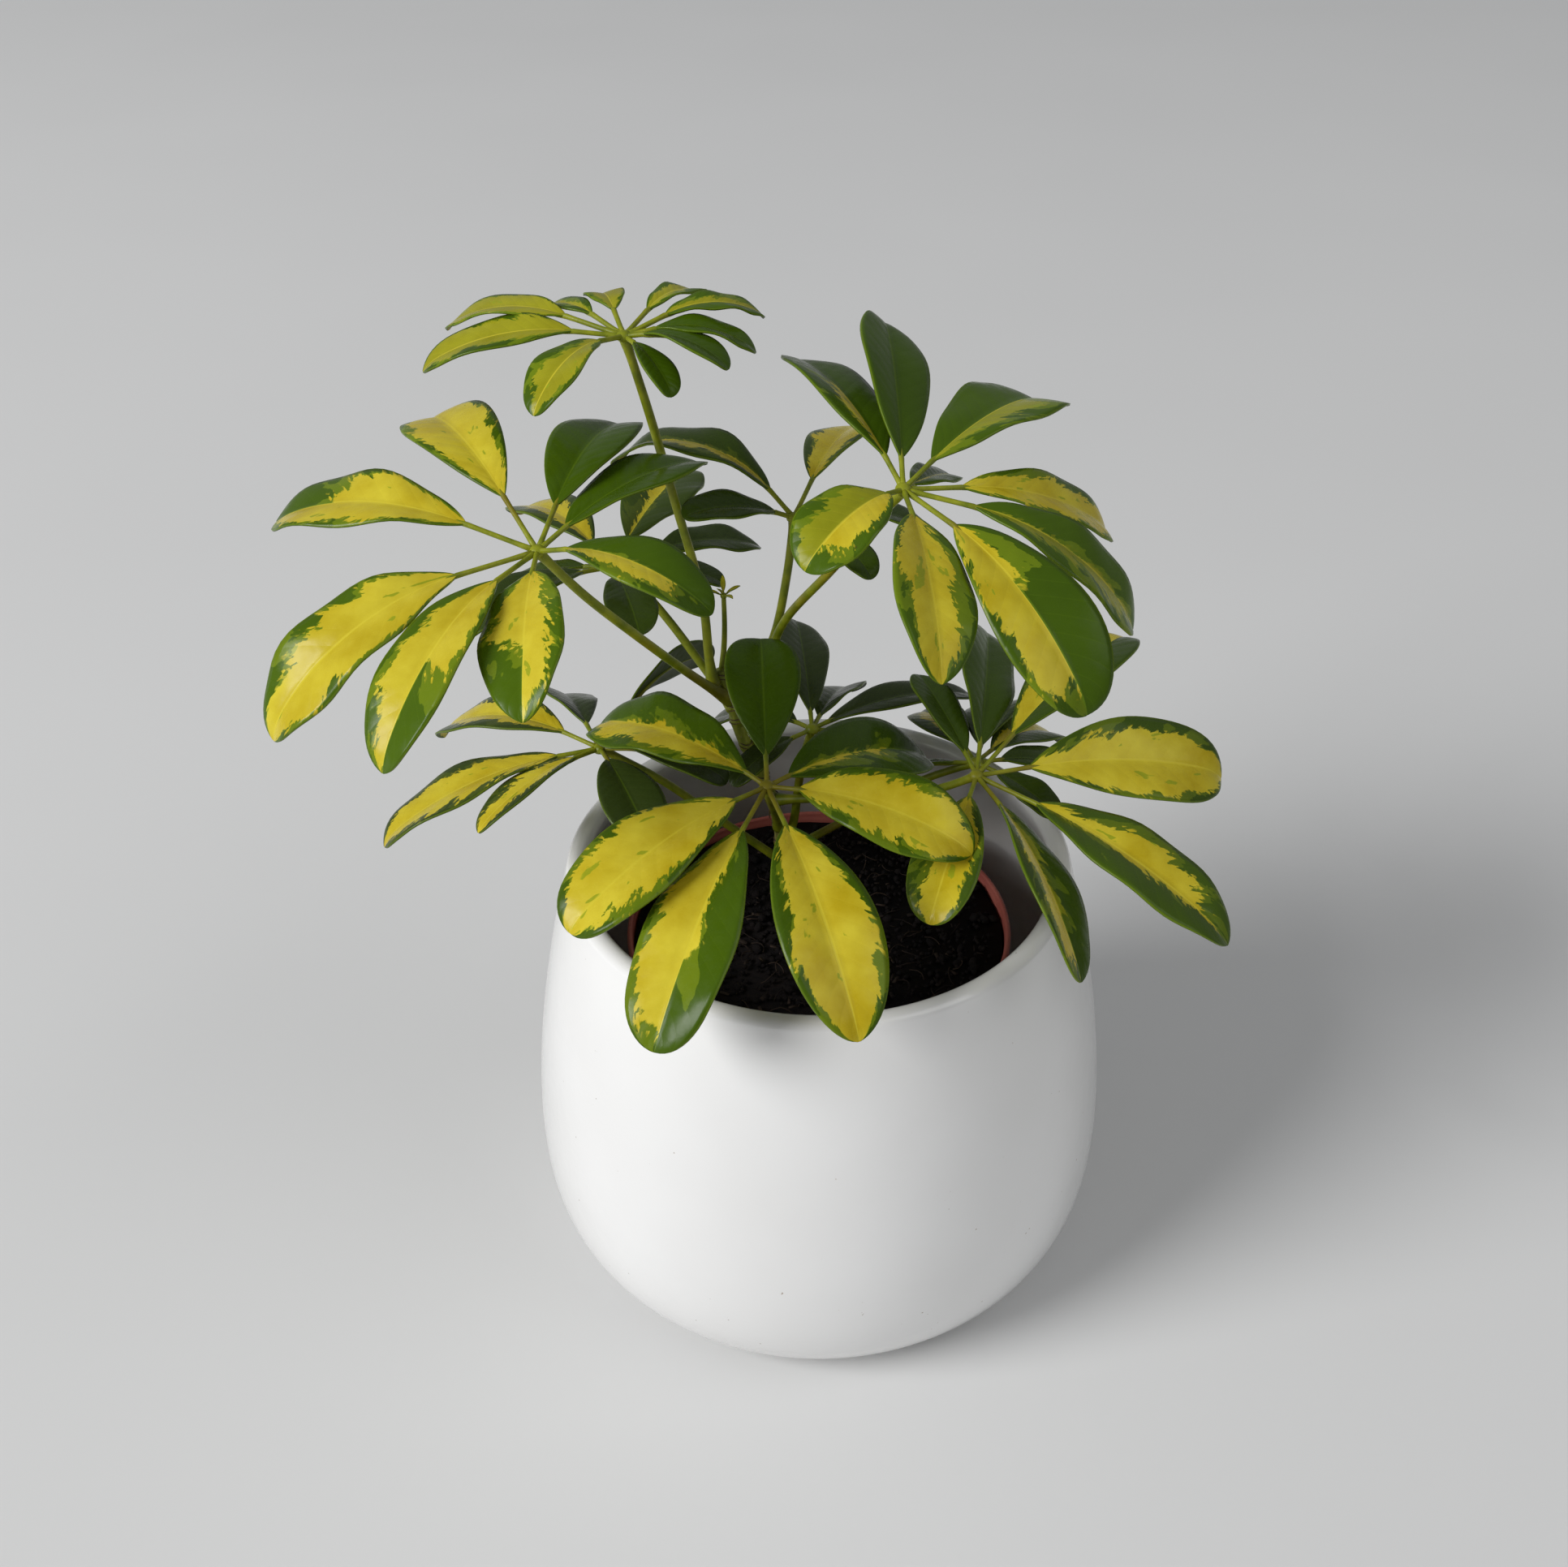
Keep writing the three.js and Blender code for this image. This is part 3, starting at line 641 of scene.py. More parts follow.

# A frond has its hub, the way its whorl leans [towards, degrees], its petiole from the stem's
# axis, and its leaflets. A leaflet is [around, rise, stalk, length, width, droop, roll], then the
# share of its left half and of its right half that is yellow, seen from its base, and how
# pointed its tip is. Where the yellow stops short of the tip, two more numbers give the shares of
# the length at which it ends in the left half and in the right half. A share below zero is olive
# instead of yellow. Tone is how far all the yellow of the frond is from lemon to olive, and age
# how far its green is from fresh to dull, dark and grey. That stands partly for older leaves and
# partly for painted shade, and it is highest on the fronds at the back and low down.
# Millimetres and degrees: hub and petiole in the plant's frame, leaflets in their whorl's plane.
FRONDS = {
    "frond_top": {
        "hub": (-50, 25, 286),
        "lean": (0, 0),
        "petiole": [
            (-30.5, 24.6, 181),
            (-31.5, 25, 190),
            (-33, 26, 210),
            (-39, 26, 238),
            (-44.5, 25, 264),
        ],
        "tone": 0.7,
        "age_and_shade": 0.0,
        "leaflets": [
            (156, 9, 17, 40, 14, 45, -5, 0.97, 0.95, 0.64),
            (178, 5, 13, 43, 16, 40, -10, 0.7, 0.85, 0.68),
            (238, 12, 10, 31, 15, 62, 5, 0.8, 0.55, 0.62),
            (304, 0, 5, 21, 10, 45, -15, 0.0, 0.0, 0.5),
            (334, 15, 6, 26, 13, 52, -10, 0.0, 0.0, 0.55),
            (3, 13, 8, 28, 12, 55, 0, 0.0, 0.1, 0.6),
            (27, 17, 12, 30, 11, 55, 5, 0.45, 0.2, 0.6),
            (59, 18, 11, 30, 10, 62, 0, 0.55, 0.6, 0.65),
            (108, 16, 11, 19, 11, 50, 0, 0.8, 0.8, 0.5),
            (134, 10, 13, 27, 11, 55, 0, 0.3, 0.3, 0.6),
        ],
    },
    "frond_upper_left": {
        "hub": (-70, -20, 248),
        "lean": (255, 12),
        "petiole": [(-26, 27, 174), (-36, 15, 190), (-48, -3, 213), (-60, -14, 232)],
        "tone": 0.05,
        "age_and_shade": 0.0,
        "leaflets": [
            (162, 15, 19, 60, 23, 50, 0, 0.84, 0.76, 0.55, 0.9, 0.62),
            (120, 15, 19, 56, 24, 46, 0, 0.84, 0.85, 0.42),
            (76, 10, 15, 55, 22, 46, 0, 0.0, 0.0, 0.6),
            (48, 8, 10, 50, 20, 36, -10, 0.0, 0.0, 0.65),
            (331, 23, 10, 44, 20, 60, -10, 0.06, 0.8, 0.6, 0.5, 0.72),
            (272, 15, 12, 48, 22, 42, 15, 0.7, 0.7, 0.68, 1.0, 0.58),
            (244, 14, 18, 59, 22, 57, 10, 0.82, 0.68, 0.64, 0.58, 0.98),
            (215, 10, 22, 63, 24, 62, -5, 0.9, 0.76, 0.62),
        ],
    },
    "frond_upper_right": {
        "hub": (21, -10, 260),
        "lean": (290, 14),
        "petiole": [(-19, 27, 151), (-18, 29, 165), (-15, 30, 182), (-10, 29, 199), (4, 10, 227)],
        "tone": 0.12,
        "age_and_shade": 0.1,
        "leaflets": [
            (230, 20, 7, 33, 22, 62, 5, 0.72, -0.75, 0.58, 0.72, 1.0),
            (115, 11, 11, 57, 22, 39, 20, 0.45, 0.0, 0.62, 0.5, 1.0),
            (94, 18, 9, 57, 22, 30, 30, 0.0, 0.0, 0.58),
            (53, 9, 12, 54, 27, 37, -10, 0.0, -0.55, 0.3, 1.0, 0.8),
            (62, -22, 6, 32, 12, 15, 0, 0.0, 0.2, 0.6),
            (19, -8, 16, 54, 19, 38, 5, 0.8, 0.78, 0.45),
            (345, 0, 18, 56, 22, 60, -5, -0.16, -0.5, 0.5),
            (306, 9, 20, 60, 26, 51, 8, 0.32, 0.88, 0.5, 0.38, 0.85),
            (277, 14, 14, 53, 22, 41, -20, 0.6, 0.78, 0.64),
        ],
    },
    "frond_upper_back": {
        "hub": (-7, 35, 229),
        "lean": (90, 5),
        "petiole": [(-24, 27, 166), (-20, 30, 178), (-13, 33, 192), (-9, 34, 212)],
        "tone": 0.1,
        "age_and_shade": 0.5,
        "leaflets": [
            (154, 43, 10, 57, 20, 88, 0, 0.55, 0.12, 0.65),
            (205, 25, 6, 28, 15, 35, -10, 0.0, 0.0, 0.55),
            (72, 18, 17, 48, 20, 36, -13, 0.7, 0.75, 0.5),
            (314, 0, 8, 25, 12, 40, 0, 0.0, 0.0, 0.5),
            (10, 5, 10, 34, 15, 45, 0, 0.0, 0.0, 0.6),
        ],
    },
    "frond_left_back": {
        "hub": (-60, 45, 208),
        "lean": (90, 5),
        "petiole": [(-25, 27, 171), (-33, 32, 181), (-43, 37, 194), (-52, 42, 203)],
        "tone": 0.1,
        "age_and_shade": 0.8,
        "leaflets": [
            (72, 16, 13, 50, 22, 22, 8, 0.35, 0.1, 0.6),
            (125, 17, 11, 48, 20, 44, 0, 0.6, 0.5, 0.5),
            (30, 8, 14, 36, 15, 35, 10, 0.0, 0.0, 0.6),
            (350, 5, 12, 22, 12, 30, 0, 0.0, 0.0, 0.5),
            (287, 5, 8, 30, 15, 30, 0, 0.0, 0.0, 0.5),
            (215, 5, 9, 48, 20, 38, 0, 0.0, 0.0, 0.6),
            (165, -5, 8, 26, 11, 25, 0, 0.0, 0.0, 0.55),
        ],
    },
    "frond_lower_left": {
        "hub": (-63, 12, 167),
        "lean": (180, 10),
        "petiole": [(-11, 27, 114), (-16, 25, 120), (-30, 21, 135), (-46, 17, 152)],
        "tone": 0.05,
        "age_and_shade": 0.9,
        "leaflets": [
            (152, 18, 12, 52, 21, 55, 5, 0.6, 0.75, 0.68),
            (200, 10, 12, 57, 22, 37, 5, 0.75, 0.65, 0.62),
            (228, 15, 9, 38, 14, 34, 10, 0.6, 0.6, 0.64),
            (112, 5, 13, 42, 18, 42, 30, 0.0, 0.0, 0.45),
            (62, 10, 16, 48, 14, 45, -60, 0.0, 0.0, 0.5),
            (293, 5, 8, 34, 18, 40, -10, 0.0, 0.0, 0.45),
            (345, 0, 10, 30, 14, 45, 0, 0.0, 0.0, 0.5),
        ],
    },
    "frond_front": {
        "hub": (-14, -21, 177),
        "lean": (270, 8),
        "petiole": [(-12, 27, 128), (-13, 20, 138), (-14, 6, 153), (-14, -10, 167)],
        "tone": 0,
        "age_and_shade": 0.1,
        "leaflets": [
            (142, 8, 7, 59, 25, 40, -5, 0.7, 0.22, 0.45, 0.9, 0.75),
            (93, 20, 9, 44, 22, 22, 5, 0.0, 0.0, 0.45),
            (38, -2, 7, 57, 24, 42, 10, -0.2, 0.3, 0.6, 0.62, 0.55),
            (342, 10, 9, 51, 24, 40, 16, 0.78, 0.72, 0.62),
            (289, 1, 16, 64, 28, 42, -6, 0.8, 0.79, 0.64),
            (250, 1, 18, 66, 27, 40, 8, 0.22, 0.74, 0.5, 0.62, 0.9),
            (222, 10, 11, 59, 27, 40, 0, 0.8, 0.82, 0.5),
        ],
    },
    "frond_right": {
        "hub": (44, -6, 170),
        "lean": (320, 8),
        "petiole": [(-14, 27, 138), (-3, 22, 142), (15, 12, 149), (32, 1, 160)],
        "tone": 0.08,
        "age_and_shade": 0.4,
        "leaflets": [
            (12, 8, 15, 62, 28, 28, 22, 0.6, 0.82, 0.5),
            (325, 3, 19, 65, 27, 27, -5, 0.46, 0.26, 0.65, 0.8, 0.9),
            (292, 6, 14, 58, 22, 42, -33, -0.3, 0.72, 0.62, 0.7, 0.92),
            (254, -2, 9, 42, 20, 34, 15, 0.7, 0.6, 0.5),
            (112, 12, 8, 34, 14, 14, 15, 0.0, 0.0, 0.5),
            (84, 14, 11, 60, 20, 31, 30, 0.0, 0.0, 0.65),
            (52, 18, 17, 61, 24, 26, -15, 0.85, 0.08, 0.5),
        ],
    },
    "frond_back": {
        "hub": (-2, 25, 165),
        "lean": (60, 5),
        "petiole": [(-12, 27, 121), (-8, 26.5, 129), (-6, 27, 145), (-4, 26, 157)],
        "tone": 0.3,
        "age_and_shade": 1.0,
        "leaflets": [
            (96, 22, 6, 48, 17, 26, 20, 0.0, 0.0, 0.45),
            (74, 4, 7, 42, 15, 38, -15, 0.0, 0.0, 0.5),
            (27, 16, 5, 52, 16, 35, -3, 0.0, 0.0, 0.6),
            (5, -5, 5, 28, 13, 35, 0, 0.0, 0.0, 0.5),
            (137, -2, 6, 42, 17, 43, -10, 0.0, 0.0, 0.5),
            (218, -5, 7, 24, 11, 35, 0, 0.0, 0.0, 0.55),
        ],
    },
    "frond_right_back": {
        "hub": (47, 28, 151),
        "lean": (0, 0),
        "petiole": [(-11, 27, 114), (-6, 32, 117), (6, 35, 123), (20, 35, 133), (34, 32, 143)],
        "tone": 0.15,
        "age_and_shade": 0.7,
        "leaflets": [
            (110, 4, 8, 38, 16, 38, -10, 0.5, 0.0, 0.6),
            (172, -5, 6, 34, 13, 25, 30, 0.0, 0.0, 0.55),
            (320, 0, 7, 24, 12, 30, 0, 0.0, 0.0, 0.5),
            (20, -6, 8, 32, 15, 35, 0, 0.0, 0.0, 0.6),
            (52, 0, 8, 44, 17, 45, 5, 0.4, 0.0, 0.55),
            (76, 5, 8, 45, 18, 42, -15, 0.0, 0.3, 0.6),
        ],
    },
}


def splashed_leaf():
    leaf = Finish("splashed_leaf")
    uv = leaf.add("SeparateXYZ")
    leaf.put(leaf.add("TexCoord").outputs["UV"], uv.inputs[0])
    lengthwise = uv.outputs[0]
    across = leaf.times(leaf.minus(uv.outputs[1], 0.5), 2)
    out = leaf.math("ABSOLUTE", across)
    marks = {name: leaf.add("Attribute", attribute_name=name).outputs["Fac"] for name in BLADE_MARKS}
    share = marks["yellow"]
    seed = leaf.times(marks["leaf_seed"], 37)

    # Side veins leave the midrib at a slant, and the edges between the colours step along them
    vein_line = leaf.minus(lengthwise, leaf.times(out, 0.17))

    def vein_grid(lengthwise_cells, outward_cells, shift):
        """Places on a grid laid along the side veins, which differs from leaflet to leaflet."""
        grid = leaf.add("CombineXYZ")
        leaf.put(leaf.times(vein_line, lengthwise_cells), grid.inputs[0])
        leaf.put(leaf.times(across, outward_cells), grid.inputs[1])
        leaf.put(leaf.plus(seed, shift), grid.inputs[2])
        return grid.outputs[0]

    def torn(lengthwise_cells, outward_cells, shift):
        """Cells with hard edges, from -0.5 to 0.5."""
        cells = leaf.add("TexVoronoi")
        leaf.put(vein_grid(lengthwise_cells, outward_cells, shift), cells.inputs["Vector"])
        cells.inputs["Scale"].default_value = 1.0
        return leaf.minus(cells.outputs["Color"], 0.5)

    def drift(lengthwise_cells, outward_cells, shift, detail=2.0):
        """Soft clouds, from -0.5 to 0.5."""
        grid = vein_grid(lengthwise_cells, outward_cells, shift)
        return leaf.minus(leaf.noise(1.0, detail, 0.6, grid), 0.5)

    # How far a place lies past the yellow: out from the midrib, or beyond the yellow's end
    wander = leaf.times(drift(3.4, 0.7, 0), 1.35)
    tears = leaf.times(torn(17, 2.2, 4), 0.22)
    fray = leaf.times(drift(34, 6, 8, 4), 0.42)
    ragged = leaf.plus(leaf.plus(wander, tears), fray)
    held = leaf.span(share, 0, 0.35)
    reach = leaf.plus(leaf.times(share, 1.13), -0.13)
    reach = leaf.plus(reach, leaf.times(ragged, held))
    rim = leaf.math("MULTIPLY_ADD", drift(26, 3, 12, 4), 0.22, 0.9)
    tip_green = leaf.span(lengthwise, 0.82, 1, 0, 0.16)
    reach = leaf.minus(leaf.math("MINIMUM", reach, rim), tip_green)
    past_end = leaf.times(leaf.minus(lengthwise, marks["yellow_end"]), 2.4)
    past_end = leaf.plus(past_end, leaf.times(ragged, 0.5))
    past_yellow = leaf.math("MAXIMUM", leaf.minus(out, reach), past_end)

    # Yellow flecks in the green close by, light green patches next to the yellow, green islands
    green = leaf.span(past_yellow, -0.008, 0.018)
    fleck = leaf.times(leaf.span(torn(58, 9, 36), 0.2, 0.23), held)
    near = leaf.span(past_yellow, 0.16, 0.06)
    green = leaf.math("SUBTRACT", green, leaf.times(fleck, near), clamp=True)
    patch = leaf.span(drift(4.6, 1.3, 16), -0.07, 0.13, 0, 0.55)
    patch = leaf.times(patch, leaf.span(share, 0, 0.3, 0.12, 1))
    patch = leaf.plus(patch, leaf.times(torn(30, 4, 20), 0.12))
    dark = leaf.span(leaf.minus(past_yellow, patch), 0, 0.03)
    island = leaf.plus(drift(5, 2.6, 24), leaf.times(torn(40, 6, 28), 0.08))
    island = leaf.span(island, 0.165, 0.18, 0, 0.8)

    # The colours of the blade: lemon or olive, then fresh green or a duller one that is partly older
    # green and partly painted shade
    cloud = leaf.noise(70, 4)
    lemon = leaf.mix(leaf.span(cloud, 0.3, 0.7), (0.48, 0.36, 0.01, 1), (0.65, 0.545, 0.04, 1))
    olive = leaf.mix(cloud, (0.13, 0.16, 0.005, 1), (0.27, 0.3, 0.01, 1))
    yellow = leaf.mix(marks["olive"], lemon, olive)
    yellow = leaf.mix(island, yellow, (0.25, 0.31, 0.012, 1))
    light_green = leaf.mix(cloud, (0.095, 0.155, 0.004, 1), (0.175, 0.235, 0.008, 1))
    shade = leaf.math("MULTIPLY_ADD", marks["leaf_seed"], 0.5, leaf.times(cloud, 0.6))
    deep_green = leaf.mix(shade, (0.034, 0.07, 0.0015, 1), (0.07, 0.13, 0.003, 1))
    fresh = leaf.mix(dark, light_green, deep_green)
    # Painted shade, with older leaves: on the fronds at the back and low down the green is painted
    # darker, duller and greyer
    aged_and_shaded = leaf.mix(leaf.times(marks["age_and_shade"], 0.8), fresh, (0.032, 0.044, 0.013, 1))
    colour = leaf.mix(green, yellow, aged_and_shaded)

    # Over them the veins, a light margin, brown blemishes and the paler underside
    ribs = leaf.math("FRACT", leaf.times(vein_line, 11))
    side_vein = leaf.span(leaf.math("ABSOLUTE", leaf.minus(ribs, 0.5)), 0.46, 0.5)
    midrib = leaf.span(out, 0.045, 0.012, smooth=True)
    veined = leaf.math("MAXIMUM", midrib, leaf.times(side_vein, 0.16))
    veined = leaf.times(veined, leaf.span(share, 0, 0.3, 0.3, 0.65))
    pale = leaf.mix(green, (0.64, 0.54, 0.04, 1), (0.13, 0.21, 0.01, 1))
    colour = leaf.mix(veined, colour, pale)
    margin = leaf.times(leaf.span(out, 0.955, 0.985, 0, 0.5), green)
    colour = leaf.mix(margin, colour, (0.15, 0.22, 0.012, 1))
    blemish = leaf.span(leaf.noise(330, 2), 0.79, 0.81, 0, 0.7)
    colour = leaf.mix(blemish, colour, (0.06, 0.045, 0.008, 1))
    under = leaf.mix(green, (0.42, 0.37, 0.06, 1), (0.085, 0.12, 0.035, 1))
    colour = leaf.mix(leaf.times(marks["underside"], 0.85), colour, under)
    leaf.put(colour, leaf.shader.inputs["Base Color"])

    # A glossy upper side and a dull underside, a little quilted between the side veins
    skin = leaf.noise(420, 3)
    gloss = leaf.span(skin, 0.3, 0.7, 0.2, 0.32)
    rough = leaf.plus(gloss, leaf.times(marks["underside"], 0.25))
    leaf.put(rough, leaf.shader.inputs["Roughness"])
    swell = leaf.minus(leaf.math("SINE", leaf.times(ribs, math.pi)), midrib)
    quilted = leaf.bump(swell, 0.0003, 0.14)
    rolling = leaf.bump(leaf.noise(120, 2), 0.0008, 0.22, quilted)
    leaf.put(leaf.bump(skin, 0.0001, 0.35, rolling), leaf.shader.inputs["Normal"])
    leaf.shader.inputs["Specular IOR Level"].default_value = 0.15
    return leaf.material


def olive_petiole():
    petiole = Finish("olive_petiole")
    streaks = petiole.span(petiole.noise(160, 3), 0.35, 0.65)
    colour = petiole.mix(streaks, (0.135, 0.17, 0.004, 1), (0.27, 0.29, 0.012, 1))
    tan = petiole.span(petiole.noise(38, 2), 0.52, 0.66, 0, 0.55)
    colour = petiole.mix(tan, colour, (0.2, 0.125, 0.008, 1))
    petiole.put(colour, petiole.shader.inputs["Base Color"])
    grain = petiole.noise(900, 3)
    petiole.put(petiole.span(grain, 0.3, 0.7, 0.34, 0.5), petiole.shader.inputs["Roughness"])
    petiole.put(petiole.bump(grain, 0.0002, 0.5), petiole.shader.inputs["Normal"])
    petiole.shader.inputs["Specular IOR Level"].default_value = 0.3
    return petiole.material


def length_share(x):
    """Share of the blade's length for a grid column at x, -1 to 1: columns crowd at both ends."""
    return 0.5 - 0.5 * math.cos((x + 1) / 2 * math.pi)


def blade_share(s, tip):
    """Half width of a blade, from 0 to 1, at a share of its length: a larger tip is more pointed."""
    base = 0.85
    widest = base / (base + tip)
    return (s**base * (1 - s) ** tip) / (widest**base * (1 - widest) ** tip)


def leaflet_axes(around, elevation, roll):
    """Directions of a leaflet in its whorl: along it, across to its left, and out of its face."""
    level = math.cos(elevation)
    along = Vector((level * math.cos(around), level * math.sin(around), math.sin(elevation)))
    across = Vector((-math.sin(around), math.cos(around), 0))
    turn = Quaternion(along, roll)
    return along, turn @ across, turn @ along.cross(across)


def blade_layers(bm):
    """The map and the marks that the leaf material reads."""
    bm.loops.layers.uv.new("blade")
    for layer in BLADE_MARKS:
        bm.faces.layers.float.new(layer)


def leaflet(spec, tone, age_and_shade, luck):
    """A leaflet in its whorl: a stalk that runs on as the midrib, and an arched, waved blade."""
    around, rise, stalk, length, width, droop, roll, left_splash, right_splash, tip = spec[:10]
    left_end, right_end = spec[10:] or (WHOLE_LENGTH, WHOLE_LENGTH)
    around, rise, droop, roll = (math.radians(angle) for angle in (around, rise, droop, roll))
    hook = math.radians(HOOK_LEAST + HOOK_SPREAD * ((luck * 5.7) % 1))

    def axes(s):
        hooked = max(0, (s - HOOK_START) / HOOK_LENGTH) ** 2 * hook
        return leaflet_axes(around, rise - droop * s - hooked, roll)

    stations = [axes(0)[0] * stalk]
    for i in range(MIDRIB_STEPS):
        along = axes((i + 0.5) / MIDRIB_STEPS)[0]
        stations.append(stations[-1] + along * length / MIDRIB_STEPS)

    def midrib_at(s):
        index = min(int(s * MIDRIB_STEPS), MIDRIB_STEPS - 1)
        return stations[index].lerp(stations[index + 1], s * MIDRIB_STEPS - index)

    bm = bmesh.new()
    blade_layers(bm)
    bmesh.ops.create_grid(bm, x_segments=BLADE_LENGTHWISE, y_segments=BLADE_ACROSS, size=1)
    bmesh.ops.solidify(bm, geom=bm.faces[:], thickness=0.01)
    bmesh.ops.recalc_face_normals(bm, faces=bm.faces)
    for face in bm.faces:
        face.material_index = 1
        left = face.calc_center_median().y > 0
        splash, end = (left_splash, left_end) if left else (right_splash, right_end)
        under = 1.0 if face.normal.z < -0.5 else 0.0
        olive = OLIVE_SPLASH if splash < 0 else tone
        for layer, value in zip(BLADE_MARKS, (under, abs(splash), end, olive, age_and_shade, luck)):
            face[bm.faces.layers.float[layer]] = value
        for loop in face.loops:
            x, y, _ = loop.vert.co
            loop[bm.loops.layers.uv["blade"]].uv = (length_share(x), (y + 1) / 2)
    bottom = min(vert.co.z for vert in bm.verts)
    waves = 1.3 + 1.4 * luck
    wave_height = (0.25 + 0.75 * ((luck * 7.3) % 1)) * length / 60
    for vert in bm.verts:
        s = length_share(vert.co.x)
        t = vert.co.y
        side = -BLADE_THICKNESS / 2 if vert.co.z < bottom + 0.005 else BLADE_THICKNESS / 2
        _, across, out = axes(s)
        half = max(width / 2 * blade_share(s, tip), NARROWEST_HALF)
        arch = half * (0.36 * abs(t) - 0.2 * t * t) * (1.1 - 0.45 * s)
        wave = wave_height * abs(t) ** 1.5 * math.sin(2 * math.pi * (waves * s + luck) + 1.3 * t)
        wave *= min(1, 4 * s, 4 * (1 - s) + 0.2)
        vert.co = midrib_at(s) + across * t * half * 0.98 + out * (arch + wave + side)
    root = axes(0)[0]
    points = [root * (0.6 + (stalk - 0.6) * i / 6) for i in range(7)]
    radii = [STALK_RADIUS * (1.25 - 0.25 * min(1, i / 2)) for i in range(6)] + [STALK_RADIUS * 1.1]
    for i in range(1, 15):
        s = i / 15
        points.append(midrib_at(s) - axes(s)[2] * 0.42 * (1 - s))
        radii.append(STALK_RADIUS * (1 - s) * 0.8 + 0.1)
    grow_tube(bm, points, radii, 8)
    return bm


def join(bm, part, place):
    """Adds a part to a bmesh, moved to its place."""
    bmesh.ops.transform(part, matrix=place, verts=part.verts)
    passing = bpy.data.meshes.new("passing")
    part.to_mesh(passing)
    part.free()
    bm.from_mesh(passing)
    bpy.data.meshes.remove(passing)


def frond_mesh(spec, luck):
    """Petiole with its sheath, hub and leaflets in one bmesh, in metres."""
    bm = bmesh.new()
    blade_layers(bm)
    line = smooth_line([*spec["petiole"], spec["hub"]], 9)
    radii = []
    for i in range(len(line)):
        s = i / (len(line) - 1)
        sheath = SHEATH_SWELL * math.exp(-((s * 9) ** 2))
        knuckle = KNUCKLE_SWELL * math.exp(-(((1 - s) * 22) ** 2))
        radii.append(PETIOLE_RADIUS * (1.05 - 0.15 * s + sheath + knuckle))
    grow_tube(bm, line, radii, 12)
    towards, tilt = (math.radians(angle) for angle in spec["lean"])
    axis = Vector((-math.sin(towards), math.cos(towards), 0))
    place = Matrix.Translation(spec["hub"]) @ Matrix.Rotation(tilt, 4, axis)
    bmesh.ops.create_icosphere(
        bm, subdivisions=3, radius=HUB_RADIUS, matrix=place @ Matrix.Diagonal((1, 1, 0.75, 1))
    )
    for numbers in spec["leaflets"]:
        join(bm, leaflet(numbers, spec["tone"], spec["age_and_shade"], luck.random()), place)
    bmesh.ops.scale(bm, vec=(MM, MM, MM), verts=bm.verts)
    return bm


leaf_material = splashed_leaf()
petiole_material = olive_petiole()
luck = random.Random(4)
for name, spec in FRONDS.items():
    frond = piece_from(frond_mesh(spec, luck), name + "_leaves", petiole_material, leaf_material)
    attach(frond, "root")
    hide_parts(name)


# Growing tip
# The bud at the top of the stem: a thin stalk with five leaflets that are just opening, only a few
# millimetres long.
TIP_PATH = [(-28.2, 28.4, 183.5), (-27.4, 30, 190), (-27, 30, 198), (-27, 30, 207)]
TIP_SCALE = 0.35
TIP_STALK_RADIUS = 0.95
TIP_STALK_TAPER = 0.011
TIP_LEAFLET_STALK = 3
TIP_LEAFLET_WIDTH = 4.5
TIP_LEAFLET_DROOP = 25
TIP_LEAFLET_YELLOW = 0.9
TIP_LEAFLET_POINT = 0.8
TIP_TONE = 0.6
TIP_LEAFLETS = [
    # around, rise, length
    (175, 25, 7),
    (95, 55, 5),
    (20, 35, 4.5),
    (300, 30, 5),
    (240, 60, 4),
]
tip_bm = bmesh.new()
blade_layers(tip_bm)
line = smooth_line(TIP_PATH, 8)
radii = [TIP_STALK_RADIUS - TIP_STALK_TAPER * i for i in range(len(line))]
grow_tube(tip_bm, line, radii, 10)
tip_place = Matrix.Translation(TIP_PATH[-1])
bmesh.ops.create_icosphere(tip_bm, subdivisions=2, radius=1.0, matrix=tip_place)
small = tip_place @ Matrix.Scale(TIP_SCALE, 4)
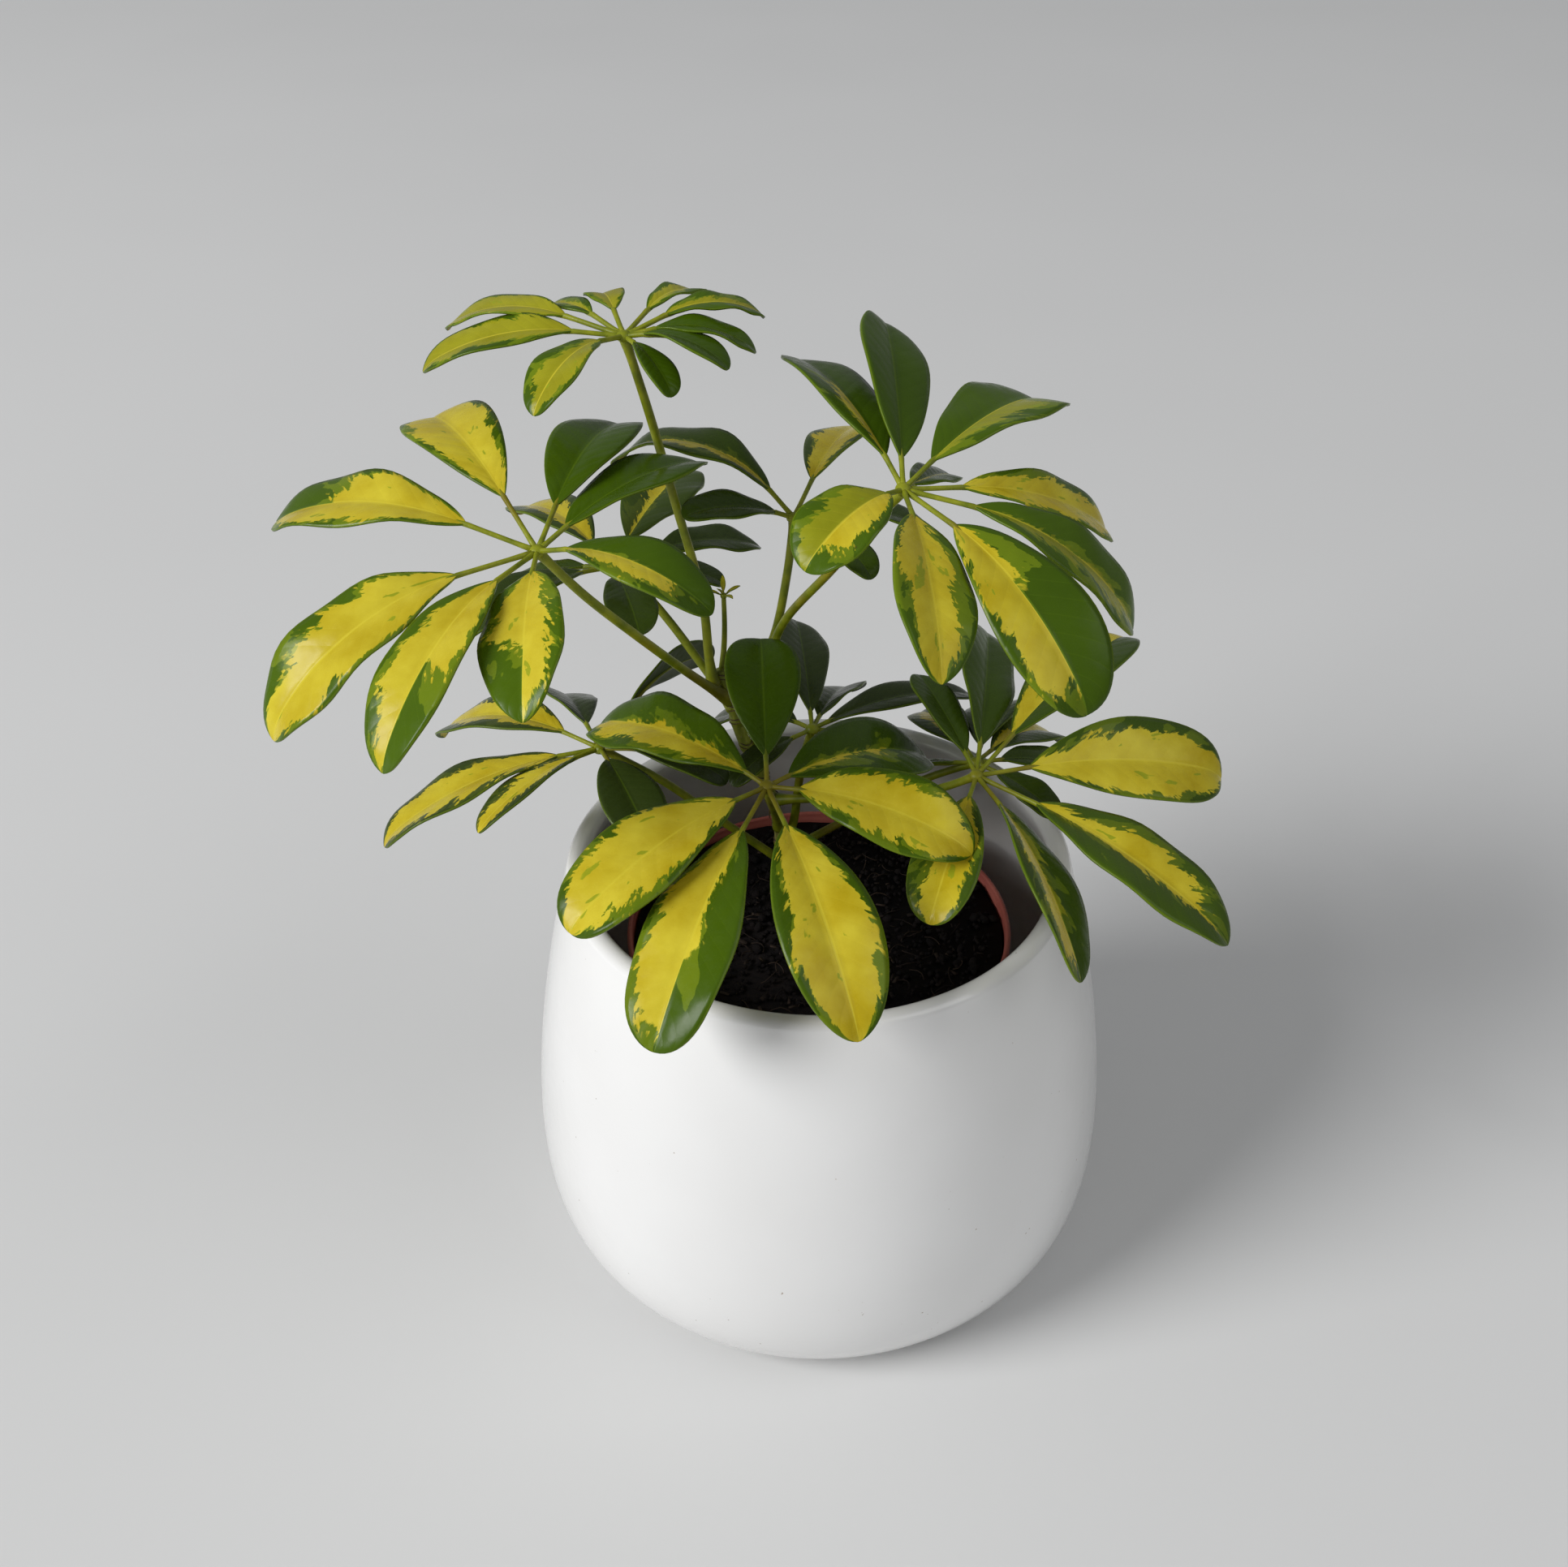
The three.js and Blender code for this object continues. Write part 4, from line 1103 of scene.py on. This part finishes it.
for around, rise, length in TIP_LEAFLETS:
    spec = (around, rise, TIP_LEAFLET_STALK, length / TIP_SCALE, TIP_LEAFLET_WIDTH)
    spec += (TIP_LEAFLET_DROOP, 0, TIP_LEAFLET_YELLOW, TIP_LEAFLET_YELLOW, TIP_LEAFLET_POINT)
    join(tip_bm, leaflet(spec, TIP_TONE, 0, luck.random()), small)
bmesh.ops.scale(tip_bm, vec=(MM, MM, MM), verts=tip_bm.verts)
growing_tip = piece_from(tip_bm, "growing_tip_bud", petiole_material, leaf_material)
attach(growing_tip, "root")
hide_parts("growing_tip")


# Floor and light
# A plain pale surface, one large soft light at the upper left, a weak one on the right, and an
# even pale surround.
PLANT_MIDDLE = (0, 0, 0.12)
floor_bm = bmesh.new()
bmesh.ops.create_grid(floor_bm, x_segments=2, y_segments=2, size=60)
pale_floor = Finish("pale_floor")
tint = pale_floor.noise(3, 2)
pale = pale_floor.mix(tint, (0.68, 0.68, 0.675, 1), (0.72, 0.72, 0.715, 1))
pale_floor.put(pale, pale_floor.shader.inputs["Base Color"])
pale_floor.shader.inputs["Roughness"].default_value = 0.85
pale_floor.shader.inputs["Specular IOR Level"].default_value = 0.1
floor = piece_from(floor_bm, "floor", pale_floor.material)


def soft_light(name, place, size, power):
    """A round lamp, of a width in metres and a power in watts, turned to the plant."""
    lamp = bpy.data.lights.new(name, "AREA")
    lamp.shape = "DISK"
    lamp.size = size
    lamp.energy = power
    light = bpy.data.objects.new(name, lamp)
    light.location = place
    light.rotation_euler = (Vector(PLANT_MIDDLE) - Vector(place)).to_track_quat("-Z", "Y").to_euler()
    bpy.context.scene.collection.objects.link(light)


soft_light("window_light", (-3.9, -2.1, 3.0), 2.7, 252)
soft_light("room_light", (3.6, -1.5, 4.2), 4.2, 54)
world = bpy.data.worlds.new("room")
bpy.context.scene.world = world
world.use_nodes = True
world.node_tree.nodes["Background"].inputs["Color"].default_value = (0.95, 0.97, 1.0, 1)
world.node_tree.nodes["Background"].inputs["Strength"].default_value = 0.25
bpy.context.scene.view_settings.view_transform = "Standard"
